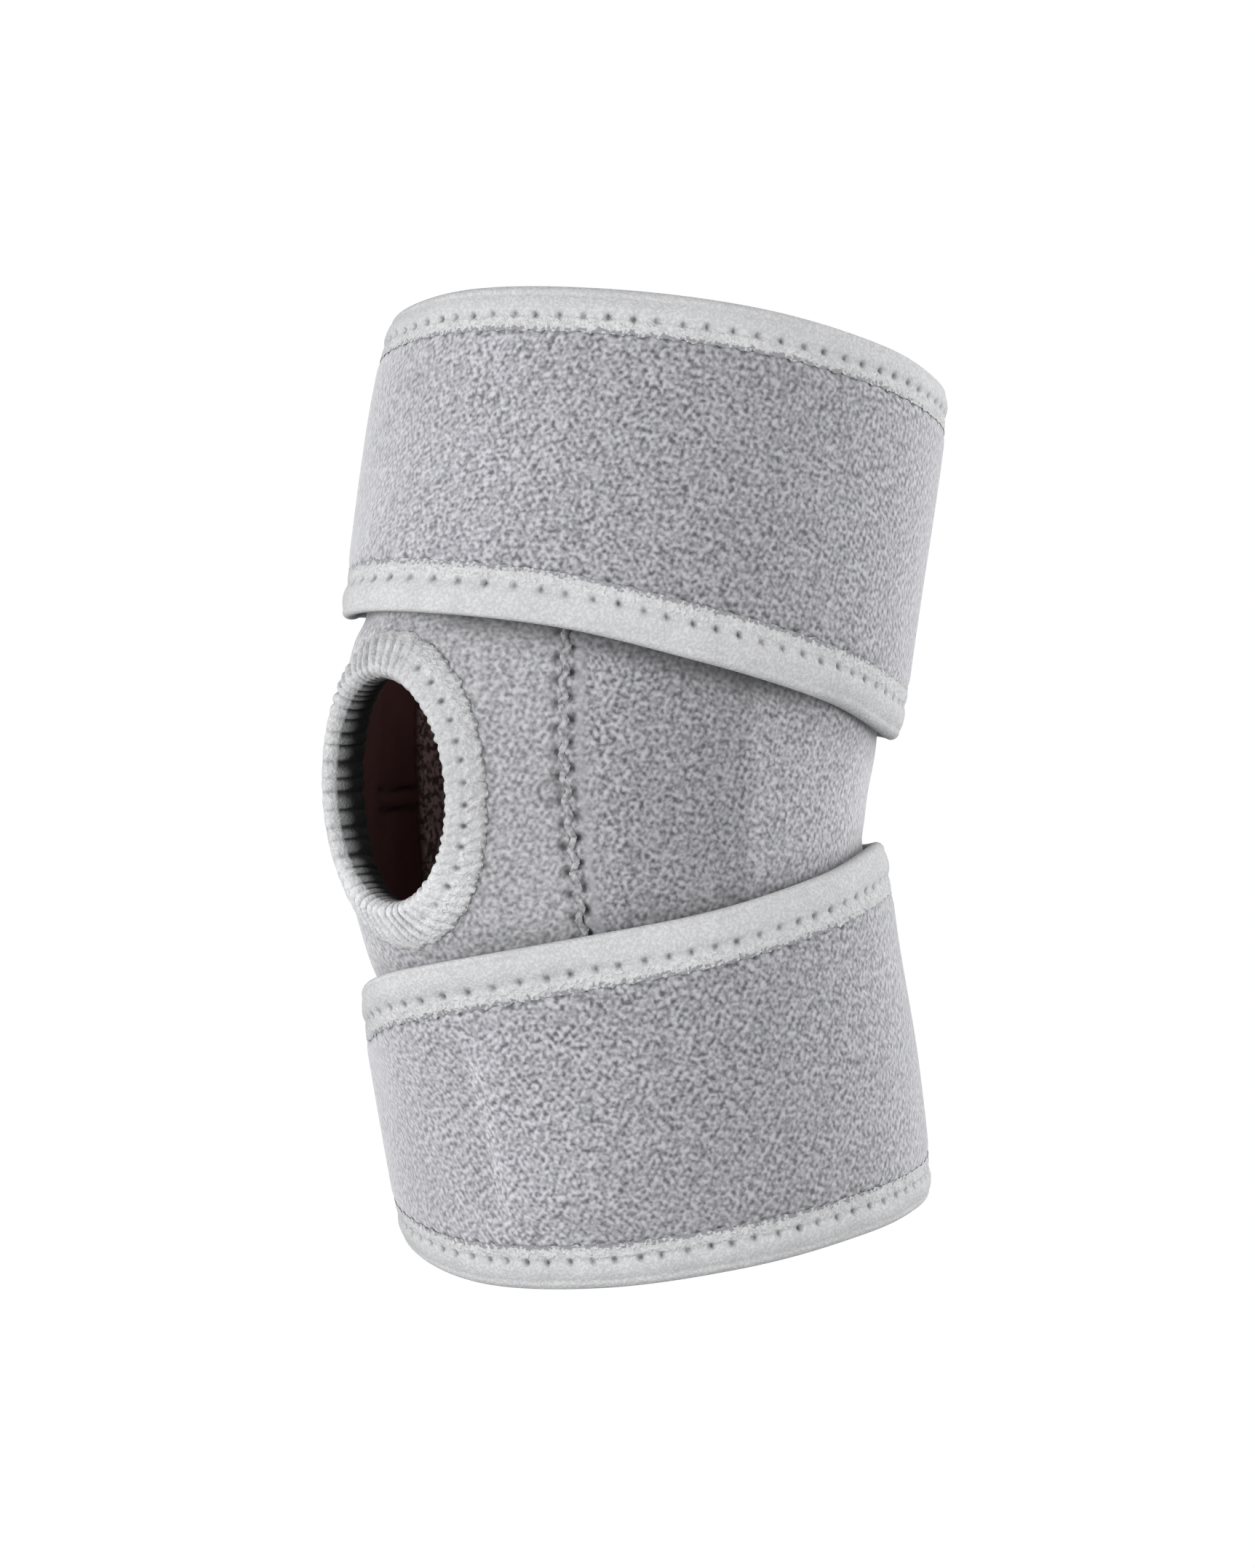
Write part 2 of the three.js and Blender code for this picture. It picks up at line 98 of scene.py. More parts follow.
# Seams of the sleeve: angle, and change of angle with height
TIP_SEAM = (34.4, -0.07)
FAR_SEAM = (-88.0, 0.0)
SEAM_GAP_ANGLE = 0.35
SEAM_RADIUS = 56.0
SEAM_PITCH = 4.4
SEAM_START = 0.3
SEAM_ROW = 1.5
SEAM_LAG = -1.5
SEAM_LEAN = 0.5
SEAM_REACH = 6.0
SEAM_STEP = 0.36
SEAM_HOLE = (1.0, 0.86)
SEAM_HOLE_DEPTH = 0.85
SEAM_RIDGES = {1: (0.25, 1.9, 1.2), -1: (0.1, -1.8, 1.4)}

# Loops of thread over the seams
LOOP_POINTS = 9
LOOP_INSET = 0.8
LOOP_SHIFT = 0.25
LOOP_SIDE_SHIFT = 0.15
LOOP_ARCH = 0.2
LOOP_SINK = 0.62
LOOP_PRESS = 0.75
THREAD_TIP = 0.03

# Sleeve panels
PANEL_RIM_INSET = 2.0
PANEL_STEP = 1.35
FINE_MARGIN = 4.5
KNOT = (31.4, 0.3)

# Lining
LINING_RIM_INSET = 3.0
LINING_STEP = 1.2
LINING_RADIUS = 48
LINING_PITCH = 3.7
LINING_NEEDLES = -72.4
LINING_HOLE = (0.8, 0.6)
LINING_HOLE_DEPTH = 0.4
LINING_HOLE_TONE = 0.9
LINING_HOLE_AND_SHADE_LIMIT = 0.95
FUZZY_RISE = 0.6
BAR_RISE = 0.5
GROOVES = ((1.0, -0.6, 0.55), (1.0, -4.4, 0.6))
GROOVE_DEPTH = 0.55
DEEPEST = -0.6

# Hole over the elbow tip
HOLE_ANGLE = 0.6
HOLE_HEIGHT = 0.4
HOLE_HALF_WIDTH = 14.7
HOLE_HALF_HEIGHT = 20.8
HOLE_TILT = 4.5
HOLE_RADIUS = 62
RIM_REACH = 1.4

# Band round the hole
RING_EDGE = 2.0
RING_BAND = 9.1
RING_NARROWING = 0.25
RING_COLUMNS = 640
RING_POINTS = 74
RING_CURL = (-0.4, -1.3)
RING_CURL_SIZE = (2.4, 4.4)

# Stitches of the band
RING_PITCH = 4.0
RING_NEEDLES = -3.2
RING_HOLE = (0.46, 0.62)
RING_HOLE_DEPTH = 0.7
RING_HOLE_TONE = 0.68
RING_LUMPS = 0.32
RING_LUMP_SLANT = 3.2
RING_DOTS = 1.5
RING_DOT = (0.4, 0.55)
RING_DOT_TONE = 0.7
PRICK_INSET = 0.35
PRICK_REACH = 2.2

# Gathers, ribs and edge of the band
RING_PLEAT = 2.0
RING_GATHER = 3.4
RING_SLANT = 0.2
RING_SCALLOP = 0.16
RING_EDGE_WIDTH = 0.9
RIB_ROUNDING = 0.6
RIB_MEAN = 0.72
RIB_DEPTH = 0.34
# Painted shade in the creases between ribs
RIB_CREASE_SHADES = (0.2, 0.35)
PLEAT_DEPTH = 1.2
PLEAT_WIDTH = 1.6
# Painted shade in the pleats, and how fast it grows into a crease
PLEAT_CREASE_SHADE = 0.28
CREASE_POWER = 1.5
RING_FRAY = 0.5
RING_FRAY_LENGTH = 1.0
# Painted light on the band's lower part, and painted shade on its right side
UNDER_LIGHT = 0.2
RIGHT_DARK = 0.05

# Inner wall of the band and the painted shade on it
WALL_START = 0.4
WALL_RISE = 1.6
WALL_RIB_DEPTHS = (0.5, 0.2)
WALL_DEPTH = 3.8
WALL_GREY = 0.48
WALL_NARROWING = 0.3
LEG_START = -1.5
LEG_SHADE = 0.3

# Straps
STRAP_START = 200
STRAP_END = 596
STRAP_RADIUS = 60
STRAP_STEP = 0.75
STRAP_ROWS = 26
STRAP_INNER_ROWS = 9
STRAP_ROW_GAP = 0.05
UNDER_TAPE_ROWS = np.array([0, 3.5, 6.0])
SEWN_ROWS = np.array([-1.0, -0.5, -0.1, 0.25, 0.6, 0.95, 1.3, 1.8, 2.4, 3.2, 4.5, 6.0])
CORNER_RADIUS = 11
CORNER_STEP = 6
RAMP_LENGTH = 32
RAMP_LEAD = 4
STRAP_HOLE = (0.62, 0.5)
STRAP_HOLE_PLACE = 0.45
STRAP_HOLE_DEPTH = 0.55
STRAP_DIP = (0.32, 0.2, 1.4)
UNDER_TAPE = 0.05
HOLE_TONE = 0.85

# Tape over the edges of the straps
END_BAND = 8.4
MIDDLE_BAND = 9.7
ROLL = 1.6
ROLL_POINTS = 15
LEG_POINTS = 6
LEG_THICKNESS = 0.3
TAPE_INSIDE = 0.3
TAPE_STEP = 0.6
TAPE_COLUMNS = 22
TAPE_EDGE_SHARE = 0.06
TAPE_EDGE_COLUMNS = 4
STITCH_PITCH = 5.1
STITCH_DEPTH = 2.9
STITCH_BAND_SHARE = 0.3
TAPE_HOLE = (0.55, 0.6)
TAPE_HOLE_DEPTH = 0.65
LUMP_MEAN = 0.64
LUMP_HEIGHT = 0.16
LUMP_SLANT = -4.0
PILLOW = 0.45
SCALLOP = 0.08
EDGE_WAVES = ((0.10, 3.5), (0.10, 1.4))
EDGE_FADE = 2.0
LIP = 0.28
LIP_LENGTH = 0.6
FRAY = 0.62
FRAY_LENGTH = 1.9
PLAIN_FRAY = 0.25

# Sides of the arm where the pile lies flat and the tape's sewn edge is plain
FAR_SIDE = 133.0
NEAR_SIDE = -42.0

# Soft step in the lower strap
STEP_ANGLE = 12.2
STEP_HALF_WIDTH = 3.0
STEP_RISE = 1.7
STEP_FADE = 70
STEP_HEIGHTS = (-84, -76, -53, -43)
STEP_SHADE = 0.1

# Press of the sleeve beside the upper and lower strap, and its puff where the upper one stands off; painted
# shade in the crevices beside the straps
STRAP_PRESS = ((1.2, 0.0, 3.4), (0.6, 0.0, 3.4), (1.2, 2.0, 9.0))
STAND_OFF = (72, 102, 160, 190)
CREVICE_SHADE = ((0.68, 0.0, 2.9), (0.24, 0.0, 2.9))

# Soft fold in the crook panel, with painted shade before it and painted light past it
FOLD_ANGLE = 73.0
FOLD_EDGE = (FOLD_ANGLE - 1.5, FOLD_ANGLE + 1.5)
FOLD_DARK = 0.2
FOLD_LIGHT = 0.04

# Hook pads under the free ends
TAB_LENGTH_ANGLE = 26
TAB_END_ANGLE = 12
TAB_MARGIN = 11.5
TAB_POINTS = 40
TAB_GAP = 0.3

# Follow is the share of the crook's dent that a strap follows. Light and dark are humps of painted light and
# painted shade across it.
UPPER = {"bottom": UPPER_BOTTOM, "top": UPPER_TOP, "bands": (MIDDLE_BAND, END_BAND), "follow": 0.4,
         "stepped": False, "light": (0.16, 8, 20), "dark": (0.14, 62, 20)}
LOWER = {"bottom": LOWER_BOTTOM, "top": LOWER_TOP, "bands": (END_BAND, MIDDLE_BAND), "follow": 1.0,
         "stepped": True, "light": (0.22, 12, 20), "dark": (0.1, 62, 20)}


# Curves

def rise(value, start, end):
    share = np.clip((value - start) / (end - start), 0, 1)
    return share * share * (3 - 2 * share)


def window(value, start, full, fade, end):
    return rise(value, start, full) * (1 - rise(value, fade, end))


def bell(value, width):
    return np.exp(-(value / width) ** 2)


def hump(value, height, place, width):
    return height * bell(value - place, width)


def cubic(t, start, end, start_slope, end_slope):
    """Smooth curve between two values, with slopes that are given over the whole step."""
    low = (1 + 2 * t) * (1 - t) ** 2 * start + t * (1 - t) ** 2 * start_slope
    return low + t * t * (3 - 2 * t) * end + t * t * (t - 1) * end_slope


def path_lengths(x, y):
    """Length along a line of points up to each of them."""
    return chain([0], np.cumsum(np.hypot(np.diff(x), np.diff(y))))


def wave(along, height, length):
    """Soft uneven wave along a line, with waves about one length long."""
    total = np.zeros_like(along)
    for _ in range(WAVE_COUNT):
        total += np.sin(2 * math.pi * (along / (length * random.uniform(0.7, 1.6)) + random.uniform()))
    return height * (total / math.sqrt(WAVE_COUNT))


def needle_marks(along, across, pitch, row, size, start=0.0):
    """How deep each point lies in a row of needle holes, 0 to 1. Holes vary a little in place and size."""
    turn = np.round((along - start) / pitch).astype(int)
    first = turn.min()
    count = turn.max() - first + 1
    shift = random.uniform(-NEEDLE_SHIFT, NEEDLE_SHIFT, (2, count)) * pitch
    scale = random.uniform(0.75, 1.2, count)
    k = turn - first
    from_hole = along - start - turn * pitch - shift[0][k]
    beside = across - row - NEEDLE_SIDE_SHARE * shift[1][k]
    return scale[k] * np.exp(-(from_hole / size[0]) ** 2 - (beside / size[1]) ** 2)


def sewn_lumps(along, pitch, across, slant):
    """Slanted lumps of a sewn edge, two to a stitch."""
    return np.abs(np.sin(math.pi * (2 * along / pitch + across / slant))) - LUMP_MEAN


# Shape of the arm

def section_at(height, column):
    steps = np.diff(SECTION_HEIGHT)
    slopes = np.empty_like(column)
    slopes[1:-1] = (column[2:] - column[:-2]) / (SECTION_HEIGHT[2:] - SECTION_HEIGHT[:-2])
    slopes[0] = (column[1] - column[0]) / steps[0]
    slopes[-1] = (column[-1] - column[-2]) / steps[-1]
    at = np.clip(height, SECTION_HEIGHT[0], SECTION_HEIGHT[-1])
    k = np.clip(np.searchsorted(SECTION_HEIGHT, at, side="right") - 1, 0, len(steps) - 1)
    t = (at - SECTION_HEIGHT[k]) / steps[k]
    return cubic(t, column[k], column[k + 1], steps[k] * slopes[k], steps[k] * slopes[k + 1])


def signed(angle):
    return (angle + 180) % 360 - 180


def centre_y(height):
    return math.tan(math.radians(HALF_BEND)) * (np.hypot(height, BEND_ROUNDING) - BEND_ROUNDING)


def tip_swell(angle, height):
    reach = (signed(angle) / TIP_HALF_ANGLE) ** 2 + (height / TIP_HALF_HEIGHT) ** 2
    return TIP_SWELL * np.clip(1 - reach, 0, 1) ** TIP_ROUNDING


def strap_point(angle, height, layer, follow):
    """Point over the sleeve. Straps bridge the crook in part, so they follow only a share of its dent."""
    angle, height, layer = np.broadcast_arrays(angle, height, layer)
    turn = np.radians(angle)
    dent = follow * section_at(height, CROOK_DENT) * (1 - np.cos(turn)) / 2
    radius = section_at(height, SECTION_RADIUS) + tip_swell(angle, height) - dent + layer
    return np.stack([radius * np.sin(turn), centre_y(height) - radius * np.cos(turn), height], axis=-1)


def sleeve_point(angle, height, layer):
    return strap_point(angle, height, layer, 1.0)


def edge_at(edge, angle):
    """Smooth closed curve through the heights of an edge."""
    along = np.mod(angle, 360) / 360 * len(edge)
    k = np.floor(along).astype(int)
    before, start, end, after = (edge[(k + step) % len(edge)] for step in (-1, 0, 1, 2))
    return cubic(along - k, start, end, (end - before) / 2, (after - start) / 2)


def seam_angle(seam, height):
    return seam[0] + seam[1] * height


# Meshes

def chain(*parts):
    return np.concatenate(parts)


def joined(*parts):
    """Grids side by side."""
    return np.concatenate(parts, axis=1)


def grid_faces(rows, columns, wrap_rows=False, wrap_columns=False):
    """Squares of a grid whose points are numbered row by row."""
    row = np.arange(rows if wrap_rows else rows - 1)[:, None] * columns
    column = np.arange(columns if wrap_columns else columns - 1)[None, :]
    above = (row + columns) % (rows * columns)
    beside = (column + 1) % columns
    corners = [row + column, row + beside, above + beside, above + column]
    return np.stack(corners, axis=-1).reshape(-1, 4)


def rim_edges(faces):
    """Edges with a face on one side only."""
    edges = np.stack([faces, np.roll(faces, -1, axis=1)], axis=-1).reshape(-1, 2)
    size = faces.max() + 1
    lone = ~np.isin(edges[:, 0] * size + edges[:, 1], edges[:, 1] * size + edges[:, 0])
    return edges[lone]


def closed_sheet(outer, inner, faces):
    """Points and faces of a sheet: its outer and its inner face, joined round every open edge."""
    count = len(outer)
    rim = rim_edges(faces)
    walls = np.stack([rim[:, 1], rim[:, 0], rim[:, 0] + count, rim[:, 1] + count], axis=1)
    return chain(outer, inner), chain(faces, faces[:, ::-1] + count, walls)


def turned_out(points, faces):
    """Faces turned so that a closed mesh's normals point out."""
    a, b, c, d = (points[faces[:, k]] for k in range(4))
    volume = np.einsum("ij,ij->", a, np.cross(b, c)) + np.einsum("ij,ij->", a, np.cross(c, d))
    return faces if volume > 0 else faces[:, ::-1]


def closed_loft(points, wrap_rows=False):
    """Points, faces and end caps of a form whose rows of points go round it."""
    rows, columns, _ = points.shape
    points = points.reshape(-1, 3)
    faces = turned_out(points, grid_faces(rows, columns, wrap_rows, True))
    caps = () if wrap_rows else (np.arange(columns), np.arange(columns) + (rows - 1) * columns)
    return points, faces, caps


def thread_mesh(lines, radius, sides):
    """Threads along lines of points (thread, point, xyz), drawn to a tip at both ends."""
    threads, count, _ = lines.shape
    along = np.gradient(lines, axis=1)
    along /= np.linalg.norm(along, axis=2, keepdims=True)
    away = lines * np.array([1.0, 1.0, 0.0])
    beside = np.cross(along, away)
    beside /= np.linalg.norm(beside, axis=2, keepdims=True)
    up = np.cross(beside, along)
    taper = np.sqrt(np.clip(1 - np.linspace(-1, 1, count) ** 4, THREAD_TIP, 1))[None, :, None, None]
    turn = np.linspace(0, 2 * math.pi, sides, endpoint=False)[None, None, :, None]
    around = np.cos(turn) * beside[:, :, None] + np.sin(turn) * up[:, :, None]
    points = (lines[:, :, None] + radius * taper * around).reshape(-1, 3)
    faces = grid_faces(count, sides, wrap_columns=True)
    starts = np.arange(threads)[:, None, None] * count * sides
    return points, (faces[None] + starts).reshape(-1, 4)


def make_piece(name, points, faces, material, slot, node=None, marks=None, caps=()):
    """Mesh piece in the CAD frame. Marks are numbers at its points that its material reads."""
    used = np.unique(faces)
    place = np.full(len(points), -1)
    place[used] = np.arange(len(used))
    mesh = bpy.data.meshes.new(name)
    polygons = place[faces].tolist() + [place[np.array(cap)].tolist() for cap in caps]
    mesh.from_pydata((points[used] * MM).tolist(), [], polygons)
    for label, values in (marks or {}).items():
        attribute = mesh.attributes.new(label, "FLOAT", "POINT")
        attribute.data.foreach_set("value", np.ascontiguousarray(np.ravel(values)[used], dtype=np.float32))
    mesh.shade_smooth()
    mesh.set_sharp_from_angle(angle=math.radians(SHARP_ANGLE))
    mesh.materials.append(material)
    piece = bpy.data.objects.new(name, mesh)
    bpy.context.scene.collection.objects.link(piece)
    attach(piece, "root")
    if node:
        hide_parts(node)
    return piece


# Materials

NOISE_RANGE = (0.3, 0.7)
DULL = 0.1
TUFTS = (1220.0, 0.5, 0.5, 0.2)
TUFT_CORNERS = ((1, 1, 1), (1, -1, -1), (-1, 1, -1), (-1, -1, 1))
TUFT_REACH = 0.00062
TUFT_SHARE = 0.1
FIBRE_SHARE = 0.03
PILE_PRESSED_SHARE = 0.75
# Dark of needle holes, and of painted shade in the pile's crevices
PILE_HOLE_AND_SHADE = (0.02, 0.02, 0.022)
KNIT_SHARE = 0.55
LUMP_SHARE = 0.35
TAPE_LOW = (0.157, 0.158, 0.161)
TAPE_HIGH = (0.227, 0.228, 0.23)
# Dark of needle holes, and of painted shade on the band's inner wall and in its creases
TAPE_HOLE_AND_SHADE = (0.005, 0.005, 0.005)
TAPE_FRAYED = (0.1, 0.1, 0.106)
# Dark of needle holes, and of painted shade in the lining's grooves
LINING_HOLE_AND_SHADE = (0.008, 0.004, 0.004)


class Look:
    """Nodes of one material."""

    def __init__(self, name):
        self.material = bpy.data.materials.new(name)
        self.material.use_nodes = True
        self.nodes = self.material.node_tree.nodes

    def feed(self, socket, value):
        """Sets a number, a vector or a colour on a socket, or links another node's output to it."""
        if isinstance(value, (int, float)):
            socket.default_value = value
        elif isinstance(value, tuple):
            socket.default_value = (*value, 1.0) if socket.type == "RGBA" else value
        else:
            self.material.node_tree.links.new(value, socket)

    def add(self, kind, output, inputs, **settings):
        node = self.nodes.new("ShaderNode" + kind)
        for label, value in settings.items():
            setattr(node, label, value)
        for label, value in inputs.items():
            self.feed(node.inputs[label], value)
        return node.outputs[output]

    def place(self):
        return self.add("TexCoord", "Object", {})

    def noise(self, scale, detail, roughness, distortion=0.0, shift=(0.0, 0.0, 0.0)):
        """Noise in the part's own space, turned so that its lattice shows no level rows."""
        turned = self.add("Mapping", "Vector", {"Vector": self.place(), "Location": shift,
                                                "Rotation": (0.62, 0.45, 0.3)})
        return self.add("TexNoise", "Fac", {"Vector": turned, "Scale": scale, "Detail": detail,
                                            "Roughness": roughness, "Distortion": distortion})

    def ramp(self, value, start, end, low=0.0, high=1.0, shape="LINEAR"):
        return self.add("MapRange", "Result", {"Value": value, "From Min": start, "From Max": end,
                                               "To Min": low, "To Max": high}, interpolation_type=shape)

    def soft_ramp(self, value, start, end, low=0.0, high=1.0):
        return self.ramp(value, start, end, low, high, "SMOOTHSTEP")

    def calc(self, operation, first, second):
        return self.add("Math", "Value", {0: first, 1: second}, operation=operation)

    def mix(self, factor, first, second):
        node = self.nodes.new("ShaderNodeMix")
        node.data_type = "RGBA"
        sockets = [socket for socket in node.inputs if socket.enabled]
        for socket, value in zip(sockets, (factor, first, second)):
            self.feed(socket, value)
        return next(socket for socket in node.outputs if socket.enabled)

    def mark(self, label):
        return self.add("Attribute", "Fac", {}, attribute_name=label)

    def with_painted_shading(self, colour, shade=1.0):
        """Colour times a shade, lighter or darker by the mark of painted light and shade."""
        nap = self.calc("MULTIPLY", shade, self.calc("ADD", self.mark("nap"), 1.0))
        return self.add("VectorMath", "Vector", {0: colour, "Scale": nap}, operation="SCALE")

    def bump(self, height, strength, distance, under=None):
        inputs = {"Height": height, "Strength": strength, "Distance": distance}
        if under is not None:
            inputs["Normal"] = under
        return self.add("Bump", "Normal", inputs)

    def finish(self, colour, roughness, normal, **others):
        """Feeds the shader. Other inputs are named with _ for a space."""
        shader = self.nodes["Principled BSDF"]
        inputs = {"Base_Color": colour, "Roughness": roughness, "Normal": normal, **others}
        for label, value in inputs.items():
            self.feed(shader.inputs[label.replace("_", " ")], value)
        return self.material


def tuft_height(look):
    """Tuft noise without broad blotches: a share of the noise round each point is taken off it."""
    tufts = look.noise(*TUFTS)
    for corner in TUFT_CORNERS:
        near = look.noise(*TUFTS, shift=tuple(TUFT_REACH * step for step in corner))
        tufts = look.calc("SUBTRACT", tufts, look.ramp(near, 0.0, 1.0, -TUFT_SHARE, TUFT_SHARE))
    fibres = look.ramp(look.noise(3600.0, 1.0, 0.6), *NOISE_RANGE, -FIBRE_SHARE, FIBRE_SHARE)
    return look.ramp(look.calc("ADD", tufts, fibres), 0.205, 0.765)


def pile_material(name, deep, light, pressed):
    """Short brushed pile: light tufts over small dark specks, flatter where it is pressed."""
    look = Look(name)
    height = tuft_height(look)
    flat = look.calc("MULTIPLY", look.mark("pressed"), PILE_PRESSED_SHARE)
    colour = look.mix(flat, look.mix(height, deep, light), pressed)
    broad = look.ramp(look.noise(38.0, 3.0, 0.55), *NOISE_RANGE, 0.975, 1.025)
    # Needle holes and painted shade darken the pile
    colour = look.mix(look.mark("pit"), look.with_painted_shading(colour, broad), PILE_HOLE_AND_SHADE)
    rough = look.ramp(height, 0.0, 1.0, 1.0, 0.88)
    return look.finish(colour, rough, look.bump(height, 0.5, 0.0003), Specular_IOR_Level=DULL,
                       Sheen_Weight=0.42, Sheen_Roughness=0.5, Sheen_Tint=(0.97, 0.97, 1.0))


def tape_material():
    """Fine knit tape with dark needle holes, a lumpy paler sewn strip and an edge that frays."""
    look = Look("binding_tape")
    height = look.soft_ramp(look.noise(1700.0, 2.0, 0.55, 0.4), 0.35, 0.65)
    lumps = look.soft_ramp(look.noise(900.0, 1.0, 0.5, 0.6), 0.38, 0.62)
    lump = look.calc("MULTIPLY", lumps, look.mark("sewn"))
    broad = look.ramp(look.noise(150.0, 3.0, 0.6), *NOISE_RANGE, 0.1, 0.35)
    tone = look.calc("ADD", look.calc("MULTIPLY", height, KNIT_SHARE), broad)
    tone = look.calc("ADD", tone, look.calc("MULTIPLY", lump, LUMP_SHARE))
    colour = look.with_painted_shading(look.mix(tone, TAPE_LOW, TAPE_HIGH))
    bare = look.calc("SUBTRACT", look.mark("fray"), look.noise(1300.0, 1.0, 0.5, 0.3))
    colour = look.mix(look.soft_ramp(bare, -0.06, 0.10), colour, TAPE_FRAYED)
    # Needle holes and painted shade darken the tape
    colour = look.mix(look.mark("pit"), colour, TAPE_HOLE_AND_SHADE)
    rough = look.ramp(height, 0.0, 1.0, 0.95, 0.8)
    normal = look.bump(lump, 0.5, 0.0004, look.bump(height, 0.4, 0.0002))
    return look.finish(colour, rough, normal, Specular_IOR_Level=DULL)


def lining_material():
    """Dark smooth knit, with one fuzzy strip."""
    look = Look("lining_knit")
    fine = look.noise(1900.0, 2.0, 0.5, 0.3)
    tuft = look.soft_ramp(look.noise(760.0, 1.0, 0.5, 0.4), 0.36, 0.66)
    fuzzy = look.mark("fuzzy")
    broad = look.soft_ramp(look.noise(60.0, 3.0, 0.5), *NOISE_RANGE)
    smooth = look.mix(broad, (0.030, 0.011, 0.010), (0.042, 0.016, 0.015))
    colour = look.mix(fuzzy, smooth, look.mix(tuft, (0.04, 0.023, 0.023), (0.19, 0.133, 0.126)))
    # Needle holes, and painted shade in the grooves, darken the lining
    colour = look.mix(look.mark("pit"), colour, LINING_HOLE_AND_SHADE)
    rough = look.ramp(fine, *NOISE_RANGE, 0.75, 0.9)
    normal = look.bump(look.calc("MULTIPLY", tuft, fuzzy), 0.6, 0.0006, look.bump(fine, 0.25, 0.0002))
    return look.finish(colour, rough, normal, Specular_IOR_Level=0.05)


def hook_material():
    """Hook pad: rows of tiny stiff hooks on a grey ground."""
    look = Look("hook_pad")
    cells = look.add("TexVoronoi", "Distance", {"Vector": look.place(), "Scale": 750.0,
                                                "Randomness": 0.35})
    hooks = look.soft_ramp(cells, 0.15, 0.5, 1.0, 0.0)
    rough = look.ramp(hooks, 0.0, 1.0, 0.9, 0.5)
    colour = look.mix(hooks, (0.05, 0.05, 0.055), (0.16, 0.16, 0.17))
    return look.finish(colour, rough, look.bump(hooks, 0.8, 0.0008))


PILE = pile_material("grey_pile", deep=(0.032, 0.032, 0.035), light=(0.164, 0.164, 0.174),
                     pressed=(0.121, 0.121, 0.128))
ELBOW_PILE = pile_material("elbow_pile", deep=(0.056, 0.056, 0.059), light=(0.172, 0.172, 0.181),
                           pressed=(0.135, 0.135, 0.143))
SEAM_PILE = pile_material("seam_thread", deep=(0.05, 0.05, 0.053), light=(0.17, 0.17, 0.178),
                          pressed=(0.15, 0.15, 0.157))
TAPE = tape_material()
LINING = lining_material()
HOOK = hook_material()


# Hole over the elbow tip

def hole_flat(turn, out):
    """Place near the hole on the flat cloth: out is the distance from its cut edge towards its middle."""
    width = HOLE_HALF_WIDTH + RING_EDGE
    height = HOLE_HALF_HEIGHT + RING_EDGE
    across = -np.cos(turn) / width
    up = -np.sin(turn) / height
    length = np.hypot(across, up)
    out = np.where(out < 0, out * (1 - RING_NARROWING * np.cos(turn) ** 2), out)
    x = width * np.cos(turn) + out * across / length
    y = height * np.sin(turn) + out * up / length
    tilt = math.radians(HOLE_TILT)
    return x * math.cos(tilt) - y * math.sin(tilt), x * math.sin(tilt) + y * math.cos(tilt)


def hole_point(turn, out, layer):
    x, y = hole_flat(turn, out)
    return sleeve_point(HOLE_ANGLE + np.degrees(x / HOLE_RADIUS), HOLE_HEIGHT + y, layer)


def hole_cloth(angle, height):
    """Flat place of a point of the sleeve near the hole."""
    return np.radians(signed(angle - HOLE_ANGLE)) * HOLE_RADIUS, height - HOLE_HEIGHT


def hole_reach(angle, height):
    """1 on the cloth's cut edge, less inside the hole."""
    x, y = hole_cloth(angle, height)
    tilt = math.radians(HOLE_TILT)
    across = (x * math.cos(tilt) + y * math.sin(tilt)) / (HOLE_HALF_WIDTH + RING_EDGE)
    up = (y * math.cos(tilt) - x * math.sin(tilt)) / (HOLE_HALF_HEIGHT + RING_EDGE)
    return np.hypot(across, up)


def cut_hole(angle, height, faces):
    """Leaves out the faces in the hole and draws the rim left onto the cut edge."""
    angle = angle.ravel().copy()
    height = height.ravel().copy()
    reach = hole_reach(angle, height)
    kept = faces[reach[faces].mean(axis=1) > 1]
    rim = np.unique(rim_edges(kept))
    rim = rim[reach[rim] < RIM_REACH]
    pull = 1 / reach[rim]
    angle[rim] = HOLE_ANGLE + signed(angle[rim] - HOLE_ANGLE) * pull
    height[rim] = HOLE_HEIGHT + (height[rim] - HOLE_HEIGHT) * pull
    return angle, height, kept


def ring_length():
    """Turns round the hole and how far along the middle of its band they lie."""
    turn = np.linspace(0, 2 * math.pi, 721)
    return turn, path_lengths(*hole_flat(turn, RING_EDGE - RING_BAND / 2))


# Sleeve panels

def sleeve_heights(angle, rim_inset, under, middle):
    """Rows of the sleeve: coarse under the straps and fine between them."""
    low = edge_at(LOWER_BOTTOM, angle) + rim_inset
    low_edge = edge_at(LOWER_TOP, angle) - FINE_MARGIN
    high_edge = edge_at(UPPER_BOTTOM, angle) + FINE_MARGIN
    high = edge_at(UPPER_TOP, angle) - rim_inset
    below = np.linspace(0, 1, under, endpoint=False)[:, None]
    between = np.linspace(0, 1, middle, endpoint=False)[:, None]
    above = np.linspace(0, 1, under)[:, None]
    return chain(low + (low_edge - low) * below, low_edge + (high_edge - low_edge) * between,
                 high_edge + (high - high_edge) * above)


def seam_row(side, height):
    """How far a row of needle holes lies past the seam. Both rows lean to the elbow at the lower end."""
    return side * SEAM_ROW - SEAM_LEAN * rise(-height, 10.0, 30.0)


